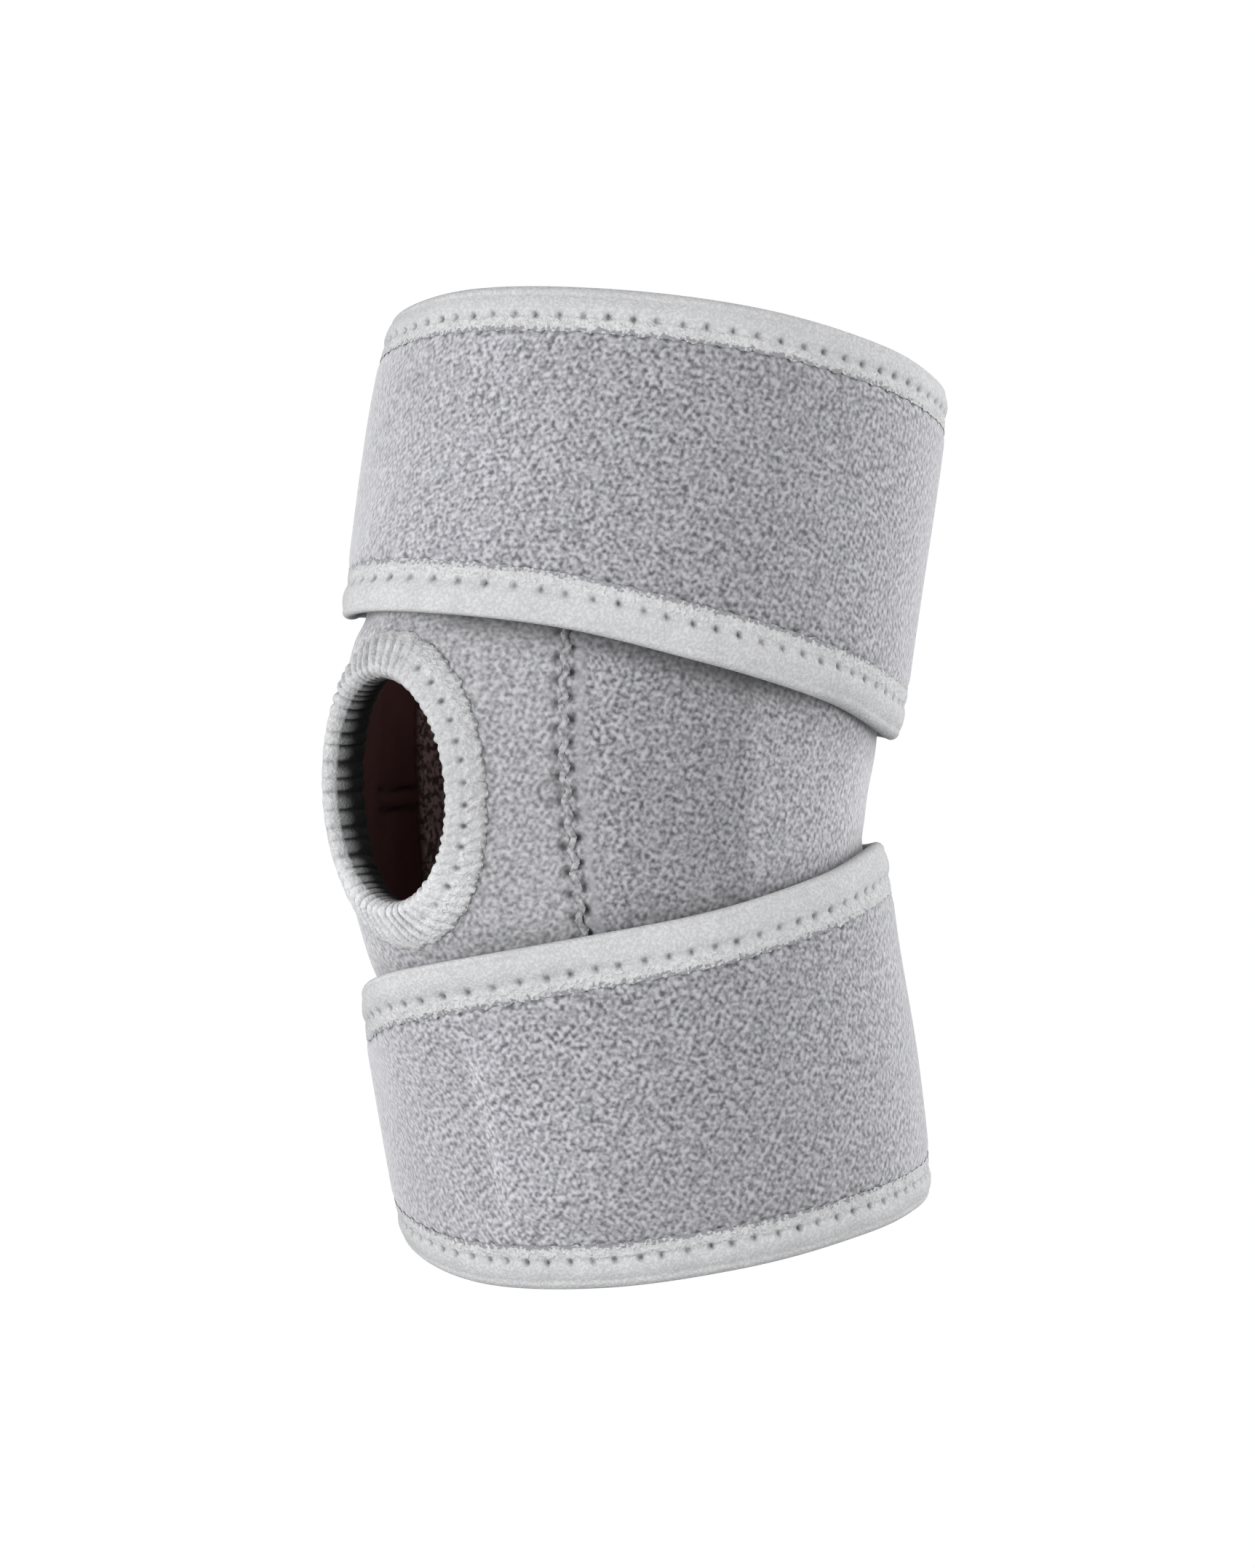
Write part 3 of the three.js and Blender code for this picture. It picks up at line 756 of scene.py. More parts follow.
def seam_relief(angle, height, seam, side):
    """Layer change, needle holes and pressed pile on one side of a seam: side is 1 past it, -1 before it."""
    across = np.radians(signed(angle - seam_angle(seam, height))) * SEAM_RADIUS
    start = SEAM_START if side > 0 else SEAM_START + SEAM_LAG
    beside = across - seam_row(side, height)
    holes = needle_marks(height, beside, SEAM_PITCH, 0, SEAM_HOLE, start)
    holes = np.where(np.abs(across) < SEAM_REACH, holes, 0)
    relief = hump(beside, *SEAM_RIDGES[side]) - hump(across, 0.3, 0.0, 1.2) - SEAM_HOLE_DEPTH * holes
    return relief, holes, (side > 0) * hump(beside, 0.8, 1.6, 1.0)


def seam_columns(width):
    """Shares across a panel, close together near its seams."""
    start = np.arange(0, SEAM_REACH, SEAM_STEP) / width
    end = 1 - start[::-1]
    steps = int((end[0] - start[-1]) * width / PANEL_STEP)
    between = np.linspace(start[-1], end[0], steps + 1)[1:-1]
    return chain(start, between, end)


def beside_straps(angle, height, upper, lower, puff=(0.0, 0.0, 1.0)):
    """Humps below the upper strap and above the lower one, less a puff where the upper one stands off."""
    below_upper = edge_at(UPPER_BOTTOM, angle) - height
    above_lower = height - edge_at(LOWER_TOP, angle)
    off = window(np.mod(angle, 360), *STAND_OFF)
    return (1 - off) * hump(below_upper, *upper) - off * hump(below_upper, *puff) + hump(above_lower, *lower)


def fold_painted_shading(angle):
    """Painted shading of the crook panel: painted shade before a soft fold, painted light past it."""
    past = window(angle, *FOLD_EDGE, 150, 190) * (FOLD_LIGHT + hump(angle, 0.27, FAR_SIDE, 34))
    return past - FOLD_DARK * window(angle, 38, 52, *FOLD_EDGE)


def ring_pricks(angle, height):
    """Dark pricks round the outer edge of the band."""
    turns, lengths = ring_length()
    count = round(lengths[-1] / RING_PITCH)
    turn = np.interp((np.arange(count) + 0.5) * lengths[-1] / count, lengths, turns)
    hole_x, hole_y = hole_flat(turn, RING_EDGE - RING_BAND - PRICK_INSET)
    near = np.flatnonzero(hole_reach(angle, height) < PRICK_REACH)
    x, y = hole_cloth(angle[near], height[near])
    marks = np.zeros_like(angle)
    marks[near] = hump(np.hypot(x[:, None] - hole_x, y[:, None] - hole_y).min(axis=1), 0.6, 0.0, 0.62)
    return marks


def make_panel(name, node, from_seam, to_seam, material, turn, width, with_hole=False):
    share = seam_columns(width)
    guide = from_seam[0] + (to_seam[0] + turn - from_seam[0]) * share
    height = sleeve_heights(guide, PANEL_RIM_INSET, under=10, middle=116)
    start = seam_angle(from_seam, height) + SEAM_GAP_ANGLE / 2
    end = seam_angle(to_seam, height) + turn - SEAM_GAP_ANGLE / 2
    angle = start + (end - start) * share
    faces = grid_faces(*angle.shape)
    if with_hole:
        angle, height, faces = cut_hole(angle, height, faces)
    angle = angle.ravel()
    height = height.ravel()
    relief, pit, pressed = (a + b for a, b in zip(seam_relief(angle, height, from_seam, 1),
                                                  seam_relief(angle, height, to_seam, -1)))
    nap = np.zeros_like(angle)
    if with_hole:
        from_knot = np.hypot(np.radians(angle - KNOT[0]) * HOLE_RADIUS, height - KNOT[1])
        relief = relief + hump(from_knot, 0.6, 0.0, 1.5)
        # Dark pricks round the band, and painted shade in a ring round the knot's foot
        pit = np.maximum(np.maximum(pit, ring_pricks(angle, height)), hump(from_knot, 0.65, 1.9, 0.45))
    else:
        fold = hump(np.radians(angle - FOLD_ANGLE) * SEAM_RADIUS, 0.22, 0.0, 1.6)
        relief = relief - fold * window(height, -26, -14, 8, 18)
        nap = fold_painted_shading(angle)
        pressed = pressed + hump(angle, 0.6, FAR_SIDE, 30)
    clear_of_ring = rise(hole_reach(angle, height), 1.35, 1.7)
    relief = relief - clear_of_ring * beside_straps(angle, height, *STRAP_PRESS)
    # Painted shade in the crevices along the straps' edges
    pit = np.maximum(pit, clear_of_ring * beside_straps(angle, height, *CREVICE_SHADE))
    outer = sleeve_point(angle, height, relief)
    inner = sleeve_point(angle, height, -PANEL_THICKNESS)
    marks = {"pit": np.clip(pit, 0, HOLE_AND_SHADE_LIMIT), "pressed": np.clip(pressed, 0, 1), "nap": nap}
    marks = {label: np.tile(values, 2) for label, values in marks.items()}
    return make_piece(name, *closed_sheet(outer, inner, faces), material, "pile", node, marks)


def seam_stitches(name, seam, low, high):
    """Soft loops of thread over a seam, between its two rows of needle holes."""
    share = np.linspace(0, 1, LOOP_POINTS)
    lines = []
    for k in np.arange(math.ceil(low / SEAM_PITCH), math.floor(high / SEAM_PITCH)):
        right = SEAM_START + k * SEAM_PITCH
        left = right + SEAM_LAG
        for start, end, side in ((right, left, 1), (left, right - SEAM_PITCH, -1)):
            bow = random.uniform(0.2, 0.8) * np.sin(2 * math.pi * share)
            height = start + (end - start) * share + bow + random.uniform(-LOOP_SHIFT, LOOP_SHIFT)
            towards = 0.5 - 0.5 * side * np.cos(math.pi * share)
            across = (seam_row(1, height) - LOOP_INSET) * (1 - towards)
            across += (seam_row(-1, height) + LOOP_INSET) * towards
            across += random.uniform(-LOOP_SIDE_SHIFT, LOOP_SIDE_SHIFT)
            angle = seam_angle(seam, height) + np.degrees(across / SEAM_RADIUS)
            layer = LOOP_ARCH * np.sin(math.pi * share) - LOOP_SINK
            layer = layer - LOOP_PRESS * beside_straps(angle, height, *STRAP_PRESS)
            lines.append(sleeve_point(angle, height, layer))
    points, faces = thread_mesh(np.array(lines), radius=0.6, sides=8)
    x, y, height = points.T
    angle = np.degrees(np.arctan2(x, centre_y(height) - y))
    # Painted shade on the loops where they run into the crevices beside the straps
    marks = {"pit": beside_straps(angle, height, *CREVICE_SHADE)}
    return make_piece(name, points, faces, SEAM_PILE, "pile", marks=marks)


elbow_panel = make_panel("elbow_panel_cloth", "elbow_panel", FAR_SEAM, TIP_SEAM, ELBOW_PILE,
                         turn=0, width=118.0, with_hole=True)
crook_panel = make_panel("crook_panel_cloth", "crook_panel", TIP_SEAM, FAR_SEAM, PILE, turn=360, width=215.0)
tip_stitches = seam_stitches("tip_seam_stitches", TIP_SEAM, low=-62, high=80)
far_stitches = seam_stitches("far_seam_stitches", FAR_SEAM, low=-70, high=78)


# Lining

def make_lining():
    angle = np.arange(-180, 180, LINING_STEP)
    height = sleeve_heights(angle, LINING_RIM_INSET, under=26, middle=90)
    angle = np.broadcast_to(angle, height.shape)
    faces = grid_faces(*height.shape, wrap_columns=True)
    angle, height, faces = cut_hole(angle, height, faces)
    strip = window(angle, -84.5, -82.8, -73.4, -72.0)
    beside_strip = window(angle, -72.5, -71, -44, -41)
    groove = sum(hump(height, *place) for place in GROOVES) * beside_strip
    needles = math.radians(LINING_NEEDLES) * LINING_RADIUS
    holes = needle_marks(height, np.radians(angle) * LINING_RADIUS, LINING_PITCH, needles, LINING_HOLE)
    bar = BAR_RISE * beside_strip * window(height, -4.4, -3.8, -1.2, -0.6)
    inward = FUZZY_RISE * strip - GROOVE_DEPTH * groove + bar - LINING_HOLE_DEPTH * holes
    outer = sleeve_point(angle, height, LINING_TOP)
    inner = sleeve_point(angle, height, LINING_BOTTOM - np.maximum(inward, DEEPEST))
    pit = np.clip(groove + LINING_HOLE_TONE * holes, 0, LINING_HOLE_AND_SHADE_LIMIT)
    marks = {"pit": chain(np.zeros_like(pit), pit), "fuzzy": np.tile(strip, 2)}
    return make_piece("lining_cloth", *closed_sheet(outer, inner, faces), LINING, "lining", "lining", marks)


lining = make_lining()


# Band round the hole

def ring_profile():
    """Section of the folded band from its outer edge over the roll to its inner leg, then back inside."""
    reach = RING_EDGE - RING_BAND
    face = np.array([(reach, 0.14), (reach + 0.1, 0.35), (reach + 0.6, 0.8), (reach + 1.5, 1.45),
                     (-4.6, 2.1), (RING_NEEDLES, 2.4), (-2.0, 2.85), (-0.4, 3.1)])
    turn = np.radians(np.linspace(90, -90, 25))[1:]
    roll = np.array(RING_CURL) + np.array(RING_CURL_SIZE) * np.stack([np.cos(turn), np.sin(turn)], axis=1)
    leg = np.array([(-2.5, -5.7), (-4.2, -5.65), (-4.5, -5.3)])
    shown = chain(face, roll, leg)
    length = path_lengths(*shown.T)
    even = np.linspace(0, length[-1], RING_POINTS)
    shown = np.stack([np.interp(even, length, shown[:, k]) for k in range(2)], axis=1)
    hidden = np.array([(-4.4, -4.8), (-2.0, -4.7), (0.3, -4.6), (0.3, -2.0), (0.3, 0.12), (-3.0, 0.1),
                       (-5.5, 0.1)])
    return shown, hidden


def ring_wall_shade(layer, gather):
    """Painted shade on the band's inner wall: grey scallops over the dark, one to a gather."""
    depth = (WALL_START - layer) / WALL_DEPTH
    place = np.mod(gather, 1)
    narrowing = WALL_NARROWING * np.clip(depth, 0, 1.2) ** 4
    side = rise(place, narrowing - 0.05, narrowing + 0.5)
    side = side * (1 - rise(place + narrowing, 0.85, 1.0))
    lit = side * (1 - rise(depth, 0.1, 1.0))
    return rise(depth, -0.12, 0.08) * (1 - (1 - WALL_GREY) * lit)


def ring_gathers(along, length, left):
    """Number of gathers up to each place along the band, wider apart at its left."""
    pitch = RING_PLEAT + (RING_GATHER - RING_PLEAT) * left
    gather = np.cumsum(1 / pitch)[:, None]
    return gather * (round(gather[-1, 0] * length / len(along)) / gather[-1, 0])


def make_ring():
    shown, hidden = ring_profile()
    slope = np.gradient(shown, axis=0)
    slope /= np.linalg.norm(slope, axis=1, keepdims=True)
    out, layer = shown.T
    reach = RING_EDGE - RING_BAND
    on_face = np.arange(len(out)) <= layer.argmax()
    turns, lengths = ring_length()
    along = np.linspace(0, lengths[-1], RING_COLUMNS, endpoint=False)
    turn = np.interp(along, lengths, turns)[:, None]
    right = rise(np.cos(turn), -0.05, 0.75)
    left = rise(-np.cos(turn), 0.5, 0.95)
    one = np.ones_like(turn)

    slant = np.where(on_face, RING_SLANT * (out - out[on_face][-1]), 0.0)
    gather = ring_gathers(along, lengths[-1], left) + slant + wave(along, 0.12, 7.0)[:, None]
    rib = np.abs(np.sin(math.pi * gather)) ** RIB_ROUNDING - RIB_MEAN
    uneven = 1 + wave(along, 0.25, 9.0)[:, None]
    past_needles = rise(out, RING_NEEDLES - 0.2, RING_CURL[0])
    pleated = (1 - right) * (1 - left) * np.where(on_face, rise(out, reach, reach + PLEAT_WIDTH), 1.0)
    face_strength = np.maximum(PLEAT_DEPTH * pleated, RIB_DEPTH * past_needles)
    wall_ribs = rise(WALL_START + WALL_RISE * left - layer, -0.8, 0.4)
    wall_strength = (WALL_RIB_DEPTHS[0] - WALL_RIB_DEPTHS[1] * right) * np.maximum(wall_ribs, pleated)
    relief = rib * np.where(on_face, face_strength, wall_strength) * uneven

    stitch = lengths[-1] / round(lengths[-1] / RING_PITCH)
    across = np.broadcast_to(np.where(on_face, out, 50.0), relief.shape)
    place = np.broadcast_to(along[:, None], relief.shape)
    holes = needle_marks(place, across, stitch, RING_NEEDLES, RING_HOLE) * right
    sewn = on_face * (1 - rise(out, RING_NEEDLES - 0.5, RING_NEEDLES)) * right
    relief = relief - RING_HOLE_DEPTH * holes - right * hump(across, 0.1, RING_NEEDLES, 0.5)
    relief = relief + RING_LUMPS * sewn * sewn_lumps(place, stitch, across, RING_LUMP_SLANT) * uneven
    edge = on_face & (out < reach + RING_EDGE_WIDTH)
    edge_wave = RING_SCALLOP * np.cos(2 * math.pi * along / stitch) + wave(along, 0.12, 5.0)
    out_all = out - slope[:, 1] * relief + edge * edge_wave[:, None]
    out_all = out_all + ~on_face * right * wave(along, 0.22, 2.4)[:, None]
    layer_all = layer + slope[:, 0] * relief
    points = hole_point(turn, joined(out_all, one * hidden[:, 0]), joined(layer_all, one * hidden[:, 1]))

    # Painted shade in the creases between ribs and in the pleats
    rib_shade = np.where(on_face, past_needles, 1.0) * (RIB_CREASE_SHADES[0] * right + RIB_CREASE_SHADES[1] * left)
    crease_shade = np.clip(-rib / RIB_MEAN, 0, 1) ** CREASE_POWER * np.maximum(PLEAT_CREASE_SHADE * pleated, rib_shade)
    wall_shade = np.where(on_face, 0.0, ring_wall_shade(layer, gather))
    # Painted shade on the band's inner leg
    wall_shade = np.where((out < LEG_START) & ~on_face, LEG_SHADE, wall_shade)
    dots = RING_DOT_TONE * needle_marks(place, across, RING_DOTS, reach, RING_DOT) * right
    pit = np.maximum(np.maximum(RING_HOLE_TONE * holes, crease_shade), np.maximum(wall_shade, dots))
    fray = RING_FRAY * on_face * (1 - rise(out, reach, reach + RING_FRAY_LENGTH)) * one
    none = np.zeros((len(along), len(hidden)))
    # Painted light on the band's lower part and painted shade on its right side
    nap = UNDER_LIGHT * rise(-np.sin(turn), 0.3, 0.9) - RIGHT_DARK * right
    # The band's hidden points carry the inner leg's painted shade
    marks = {"pit": np.clip(joined(pit, none + LEG_SHADE), 0, 1), "sewn": joined(sewn, none),
             "nap": np.broadcast_to(nap, points.shape[:2]), "fray": joined(fray, none)}
    points, faces, _ = closed_loft(points, wrap_rows=True)
    return make_piece("elbow_ring_tape", points, faces, TAPE, "tape", "elbow_ring", marks)


elbow_ring = make_ring()


# Straps

def overlap_lift(angle):
    ramp_end = STRAP_START + 360 - RAMP_LEAD
    return OVERLAP_LIFT * rise(angle, ramp_end - RAMP_LENGTH, ramp_end)


def facing(angle):
    """Share of the marks along a tape's sewn edge, which is flat and plain towards both sides of the arm."""
    around = signed(angle)
    return (1 - hump(around, 1.0, -62.0, 34)) * (1 - hump(around, 1.0, 126.0, 22))


def soft_step(angle, height):
    along = signed(angle) - STEP_ANGLE
    step = window(along, -STEP_HALF_WIDTH, STEP_HALF_WIDTH, 0, STEP_FADE)
    return STEP_RISE * step * window(height, *STEP_HEIGHTS)


def step_painted_shading(around, height):
    """Painted shading at the soft step: painted light on its crest, painted shade at its foot."""
    from_foot = around - STEP_ANGLE + STEP_HALF_WIDTH
    foot = bell(from_foot, np.where(from_foot < 0, 6.5, 1.8))
    return STEP_SHADE * (hump(around, 0.5, STEP_ANGLE, 2.0) - foot) * window(height, *STEP_HEIGHTS)


def strap_stations(step):
    """Angles along a strap and how far its corners are rounded there."""
    plain = np.arange(STRAP_START, STRAP_END, math.degrees(step / STRAP_RADIUS))
    corner = np.arange(0, 91, CORNER_STEP)
    rounded = STRAP_END + np.degrees(CORNER_RADIUS * np.sin(np.radians(corner)) / STRAP_RADIUS)
    return chain(plain, rounded), chain(np.zeros(len(plain)), np.radians(corner))


def tape_path(strap):
    """Line of the strap's cut edge: along the bottom, round the free end and back along the top."""
    angle, corner = strap_stations(TAPE_STEP)
    inset = TAPE_EDGE + CORNER_RADIUS * (1 - np.cos(corner))
    low = edge_at(strap["bottom"], angle) + inset
    high = edge_at(strap["top"], angle) - inset
    end = np.linspace(low[-1], high[-1], int((high[-1] - low[-1]) / TAPE_STEP))[1:-1]
    flat = np.ones(len(end))
    sine = np.sin(corner)
    cosine = np.cos(corner)
    low_band, high_band = strap["bands"]
    end_band = np.linspace(low_band, high_band, len(end))
    path = {
        "angle": chain(angle, flat * angle[-1], angle[::-1]),
        "height": chain(low, end, high[::-1]),
        "out_along": chain(sine, flat, sine[::-1]),
        "out_up": chain(-cosine, 0 * flat, cosine[::-1]),
        "band": chain(0 * low + low_band, end_band, 0 * high + high_band),
        "bottom_part": slice(0, len(angle)),
        "top_part": slice(len(angle) + len(end), None),
        "follow": strap["follow"],
    }
    path["along"] = path_lengths(np.radians(path["angle"]) * STRAP_RADIUS, path["height"])
    return path


def tape_point(path, along, out, layer):
    """Point of the tape: out is the distance past the strap's cut edge."""
    angle, height, out_along, out_up = (np.interp(along, path["along"], path[key])
                                        for key in ("angle", "height", "out_along", "out_up"))
    place = angle + np.degrees(out * out_along / STRAP_RADIUS)
    return strap_point(place, height + out * out_up, layer + overlap_lift(angle), path["follow"])


def tape_face(inward, band):
    """Layer of the tape's outer face so far in from its sewn edge."""
    share = inward / (band - ROLL)
    slope = SEWN_TOP + TAPE_EDGE + (CUT_EDGE_TOP - SEWN_TOP) * share
    return slope - np.interp(inward, (0.0, 2.4, 3.4, 99.0), (0.2, 0.15, 0.1, 0.0))


def make_binding(name, node, path):
    along = path["along"][:, None]
    band = path["band"][:, None]
    reach = TAPE_EDGE - band
    edge_share = np.linspace(0, TAPE_EDGE_SHARE, TAPE_EDGE_COLUMNS)[:-1]
    share = chain(edge_share, np.linspace(TAPE_EDGE_SHARE, 1, TAPE_COLUMNS))
    inward = share * (band - ROLL)
    one = np.ones_like(along)
    stitch_turn = 2 * math.pi * along / STITCH_PITCH
    stitch = STITCH_DEPTH + STITCH_BAND_SHARE * (band - END_BAND)
    sewn = window(inward, 0.3, 0.9, 2.2, 2.8)
    shown = facing(path["angle"])[:, None]
    pit = needle_marks(along + 0 * inward, inward, STITCH_PITCH, stitch, TAPE_HOLE) * (0.5 + 0.5 * shown)
    soft_wave = wave(along, 0.10, 24.0)

    lumps = LUMP_HEIGHT * sewn_lumps(along, STITCH_PITCH, inward, LUMP_SLANT) + wave(along, 0.05, 3.2)
    face = tape_face(inward, band) + lumps * sewn
    face = face - hump(inward - stitch, 0.07, 0.0, 0.5) - TAPE_HOLE_DEPTH * pit
    face = face + np.cos(stitch_turn) * hump(inward, 0.06, 4.3, 1.1)
    to_rim = np.clip((inward - stitch) / (band - ROLL - stitch), 0, 1)
    face = face + PILLOW * 4 * to_rim * (1 - to_rim)
    face = face + soft_wave * rise(inward, 3.5, 6.0)
    uneven = SCALLOP * np.cos(stitch_turn)
    for edge_wave in EDGE_WAVES:
        uneven = uneven + wave(along, *edge_wave)
    scallop = uneven * (1 - rise(inward, 0, EDGE_FADE)) - LIP * (1 - rise(inward, 0, LIP_LENGTH))
    fray = FRAY * (PLAIN_FRAY + (1 - PLAIN_FRAY) * shown) * (1 - rise(inward, 0.0, FRAY_LENGTH))

    roll = np.radians(np.linspace(90, -90, ROLL_POINTS))[1:-1]
    leg = np.linspace(0, 1, LEG_POINTS)
    low_face = STRAP_BOTTOM - TAPE_EDGE
    leg_top = STRAP_BOTTOM - LEG_THICKNESS
    under_face = [(CUT_EDGE_TOP + SEWN_TOP) / 2 + 0.1, SEWN_TOP + 0.05]
    out = joined(
        reach + inward + scallop,
        one * (TAPE_EDGE - ROLL + ROLL * np.cos(roll)),
        TAPE_EDGE - ROLL + (reach - TAPE_EDGE + ROLL) * leg,
        reach + (TAPE_INSIDE - reach) * np.array([0.0, 0.5, 1.0]),
        one * np.full(2, TAPE_INSIDE),
        reach + (TAPE_INSIDE - reach) * np.array([0.5, 0.06]),
    )
    layer = joined(
        face,
        low_face + ROLL + one * ROLL * np.sin(roll) + soft_wave * np.clip(np.sin(roll), 0, 1),
        low_face + 0 * one * leg,
        one * np.full(3, leg_top),
        one * np.array([STRAP_BOTTOM, CUT_EDGE_TOP]),
        one * np.array(under_face),
    )
    rest = np.zeros((len(along), out.shape[1] - pit.shape[1]))
    marks = {"pit": np.clip(joined(HOLE_TONE * pit, rest), 0, HOLE_AND_SHADE_LIMIT), "sewn": joined(sewn, rest),
             "fray": joined(fray, rest)}
    points, faces, caps = closed_loft(tape_point(path, along, out, layer))
    return make_piece(name, points, faces, TAPE, "tape", node, marks, caps)


def strap_rows(low, high, inset, bands):
    """Heights of a strap's rows on its outer face: close together near the tapes' sewn edges."""
    rows_low, rows_high = (chain(UNDER_TAPE_ROWS, SEWN_ROWS + band) for band in bands)
    least = inset + STRAP_ROW_GAP * np.arange(len(rows_low))
    from_low = np.maximum(rows_low, least)
    from_high = np.maximum(rows_high, least)[:, ::-1]
    share = np.linspace(0, 1, STRAP_ROWS)[1:-1]
    first = low + from_low[:, -1:]
    last = high - from_high[:, :1]
    return joined(low + from_low, first + (last - first) * share, high - from_high)


def make_strap(name, node, strap, path):
    angle, corner = (values[:, None] for values in strap_stations(STRAP_STEP))
    inset = TAPE_EDGE + CORNER_RADIUS * (1 - np.cos(corner))
    low = edge_at(strap["bottom"], angle)
    high = edge_at(strap["top"], angle)
    low_band, high_band = strap["bands"]
    height = strap_rows(low, high, inset, strap["bands"])
    past_low = height - low - low_band
    past_high = high - height - high_band
    from_end = np.radians(angle[-1] - angle) * STRAP_RADIUS - (low_band + high_band) / 2 + TAPE_EDGE
    from_end = from_end + 0 * height
    inside = (past_low > 0) & (past_high > 0)

    pit = np.zeros_like(height)
    for part, beyond in (("bottom_part", past_low), ("top_part", past_high)):
        order = np.argsort(path["angle"][path[part]], kind="stable")
        along = np.interp(angle, path["angle"][path[part]][order], path["along"][path[part]][order])
        pit = pit + needle_marks(along + 0 * height, beyond, STITCH_PITCH, STRAP_HOLE_PLACE, STRAP_HOLE,
                                 STITCH_PITCH / 2)
    pit = pit * facing(angle)
    pit = pit + inside * needle_marks(height, from_end, STITCH_PITCH, STRAP_HOLE_PLACE, STRAP_HOLE)
    dip = hump(past_low, *STRAP_DIP) + hump(past_high, *STRAP_DIP) + inside * hump(from_end, *STRAP_DIP)
    depth = np.minimum(np.minimum(past_low, past_high), from_end)
    covered = SEWN_TOP - UNDER_TAPE + (SEWN_TOP - CUT_EDGE_TOP) * np.clip(depth / END_BAND, -1, 0)
    shown = rise(depth, -0.1, 0.2)
    outer = covered + (STRAP_TOP - dip - STRAP_HOLE_DEPTH * pit - covered) * shown
    inner_height = low + inset + (high - low - 2 * inset) * np.linspace(1, 0, STRAP_INNER_ROWS)
    none = np.zeros_like(inner_height)
    all_height = joined(height, inner_height)
    layer = joined(outer, none + STRAP_BOTTOM) + overlap_lift(angle)
    around = signed(angle) + 0 * all_height
    # Painted light and painted shade across the strap
    nap = hump(around, *strap["light"]) - hump(around, *strap["dark"])
    if strap["stepped"]:
        layer = layer + soft_step(angle, all_height)
        nap = nap + step_painted_shading(around, all_height)
    marks = {"pit": joined(np.clip(HOLE_TONE * pit, 0, HOLE_AND_SHADE_LIMIT), none),
             "pressed": hump(around, 0.6, NEAR_SIDE, 38) + hump(around, 0.4, FAR_SIDE, 28), "nap": nap}
    points, faces, caps = closed_loft(strap_point(angle, all_height, layer, strap["follow"]))
    return make_piece(name, points, faces, PILE, "pile", node, marks, caps)


def make_tab(name, node, strap):
    """Hook pad between the strap's free end and the turn below it."""
    end = strap_stations(TAPE_STEP)[0][-1] - TAB_END_ANGLE
    angle = np.linspace(end - TAB_LENGTH_ANGLE, end, TAB_POINTS)[None, :]
    low = edge_at(strap["bottom"], angle) + TAB_MARGIN
    high = edge_at(strap["top"], angle) - TAB_MARGIN
    height = low + (high - low) * np.linspace(0, 1, TAB_POINTS)[:, None]
    outer, inner = (strap_point(angle, height, layer, strap["follow"]).reshape(-1, 3)
                    for layer in (STRAP_BOTTOM + OVERLAP_LIFT - TAB_GAP, STRAP_TOP + TAB_GAP))
    return make_piece(name, *closed_sheet(outer, inner, grid_faces(*height.shape)), HOOK, "hook", node)


upper_path = tape_path(UPPER)
lower_path = tape_path(LOWER)
upper_strap = make_strap("upper_strap_cloth", "upper_strap", UPPER, upper_path)
lower_strap = make_strap("lower_strap_cloth", "lower_strap", LOWER, lower_path)
upper_binding = make_binding("upper_strap_tape", "upper_strap_binding", upper_path)
lower_binding = make_binding("lower_strap_tape", "lower_strap_binding", lower_path)
upper_tab = make_tab("upper_hook_pad", "upper_hook_tab", UPPER)
lower_tab = make_tab("lower_hook_pad", "lower_hook_tab", LOWER)


# Camera, floor and light, in metres

CAMERA_AZIMUTH = 45
CAMERA_ELEVATION = 1
CAMERA_DISTANCE = 0.7
CAMERA_AIM = Vector((0, 0.002, 0.0007))
CAMERA_LENS = 80.8
CAMERA_SENSOR = 36
FLOOR_DROP = 0.25
FLOOR_SIZE = 6.0
WHITE = (1, 1, 1, 1)


def place_facing(thing, location, away):
    """Links a camera or light to the scene, so that it looks against the direction away."""
    thing.location = location
    thing.rotation_mode = "QUATERNION"
    thing.rotation_quaternion = (-away).to_track_quat("-Z", "Y")
    bpy.context.scene.collection.objects.link(thing)


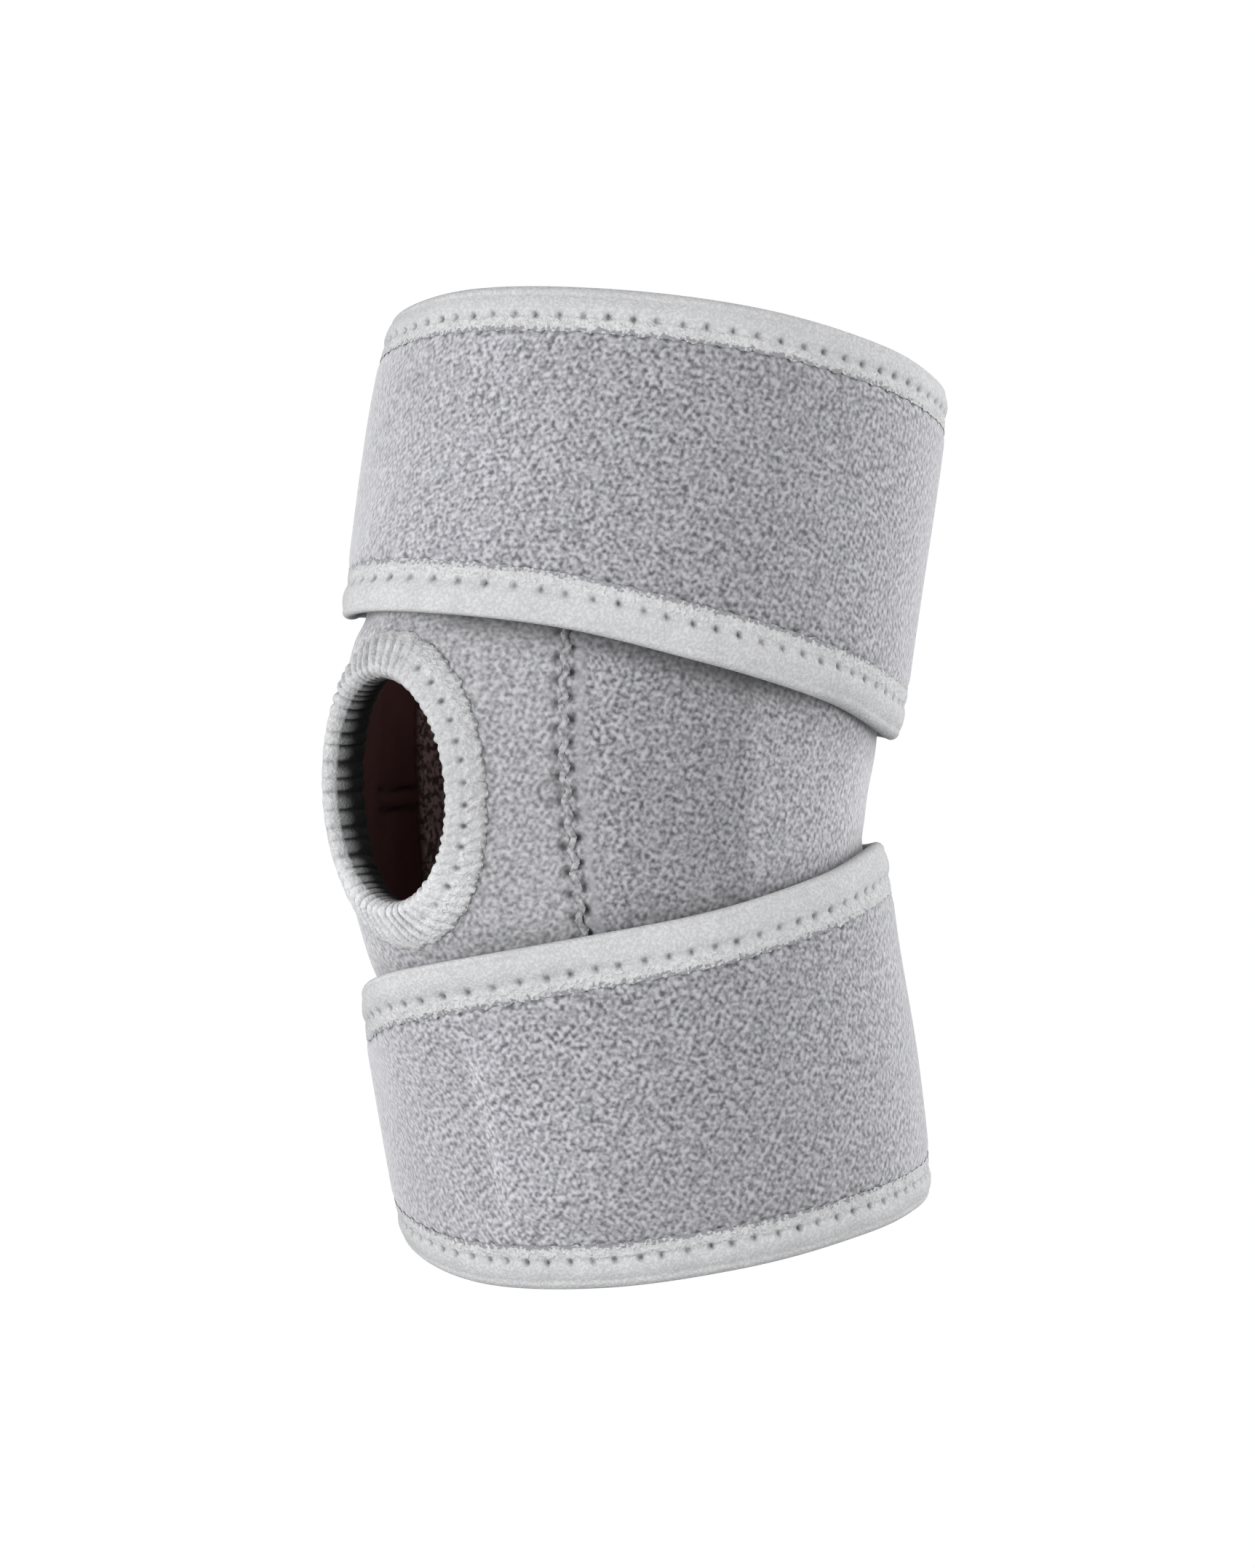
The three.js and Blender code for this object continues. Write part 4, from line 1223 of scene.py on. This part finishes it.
def add_camera():
    data = bpy.data.cameras.new("camera")
    data.lens = CAMERA_LENS
    data.sensor_width = CAMERA_SENSOR
    camera = bpy.data.objects.new("camera", data)
    azimuth = math.radians(CAMERA_AZIMUTH)
    elevation = math.radians(CAMERA_ELEVATION)
    back = Vector((math.sin(azimuth) * math.cos(elevation), -math.cos(azimuth) * math.cos(elevation),
                   math.sin(elevation)))
    place_facing(camera, CAMERA_AIM + back * CAMERA_DISTANCE, back)
    bpy.context.scene.camera = camera


def add_floor():
    half = FLOOR_SIZE / 2
    low = cad_box[0].z - FLOOR_DROP
    corners = [(-half, -half, low), (half, -half, low), (half, half, low), (-half, half, low)]
    mesh = bpy.data.meshes.new("floor")
    mesh.from_pydata(corners, [], [(0, 1, 2, 3)])
    material = bpy.data.materials.new("floor_white")
    material.use_nodes = True
    nodes = material.node_tree.nodes
    glow = nodes.new("ShaderNodeEmission")
    glow.inputs["Color"].default_value = WHITE
    material.node_tree.links.new(glow.outputs["Emission"], nodes["Material Output"].inputs["Surface"])
    mesh.materials.append(material)
    floor = bpy.data.objects.new("floor", mesh)
    bpy.context.scene.collection.objects.link(floor)


def add_light(name, angle, lift, size, power):
    """Soft area light that faces the object from about a metre away."""
    data = bpy.data.lights.new(name, "AREA")
    data.shape = "RECTANGLE"
    data.size, data.size_y = size
    data.energy = power
    light = bpy.data.objects.new(name, data)
    light.visible_camera = False
    turn = math.radians(angle)
    place = Vector((math.sin(turn), -math.cos(turn), lift))
    place_facing(light, place, place)


def add_world():
    world = bpy.data.worlds.new("studio")
    world.use_nodes = True
    background = world.node_tree.nodes["Background"]
    background.inputs["Color"].default_value = WHITE
    background.inputs["Strength"].default_value = 1.0
    bpy.context.scene.world = world


add_camera()
add_floor()
add_world()
add_light("front_light", angle=-1, lift=0.03, size=(0.7, 0.6), power=27.0)
add_light("top_front_light", angle=15, lift=1.6, size=(0.7, 0.7), power=7.0)
add_light("right_light", angle=110, lift=0.05, size=(0.7, 0.6), power=17.0)
add_light("back_light", angle=160, lift=0.6, size=(0.7, 0.7), power=14.0)
bpy.context.scene.view_settings.view_transform = "Standard"
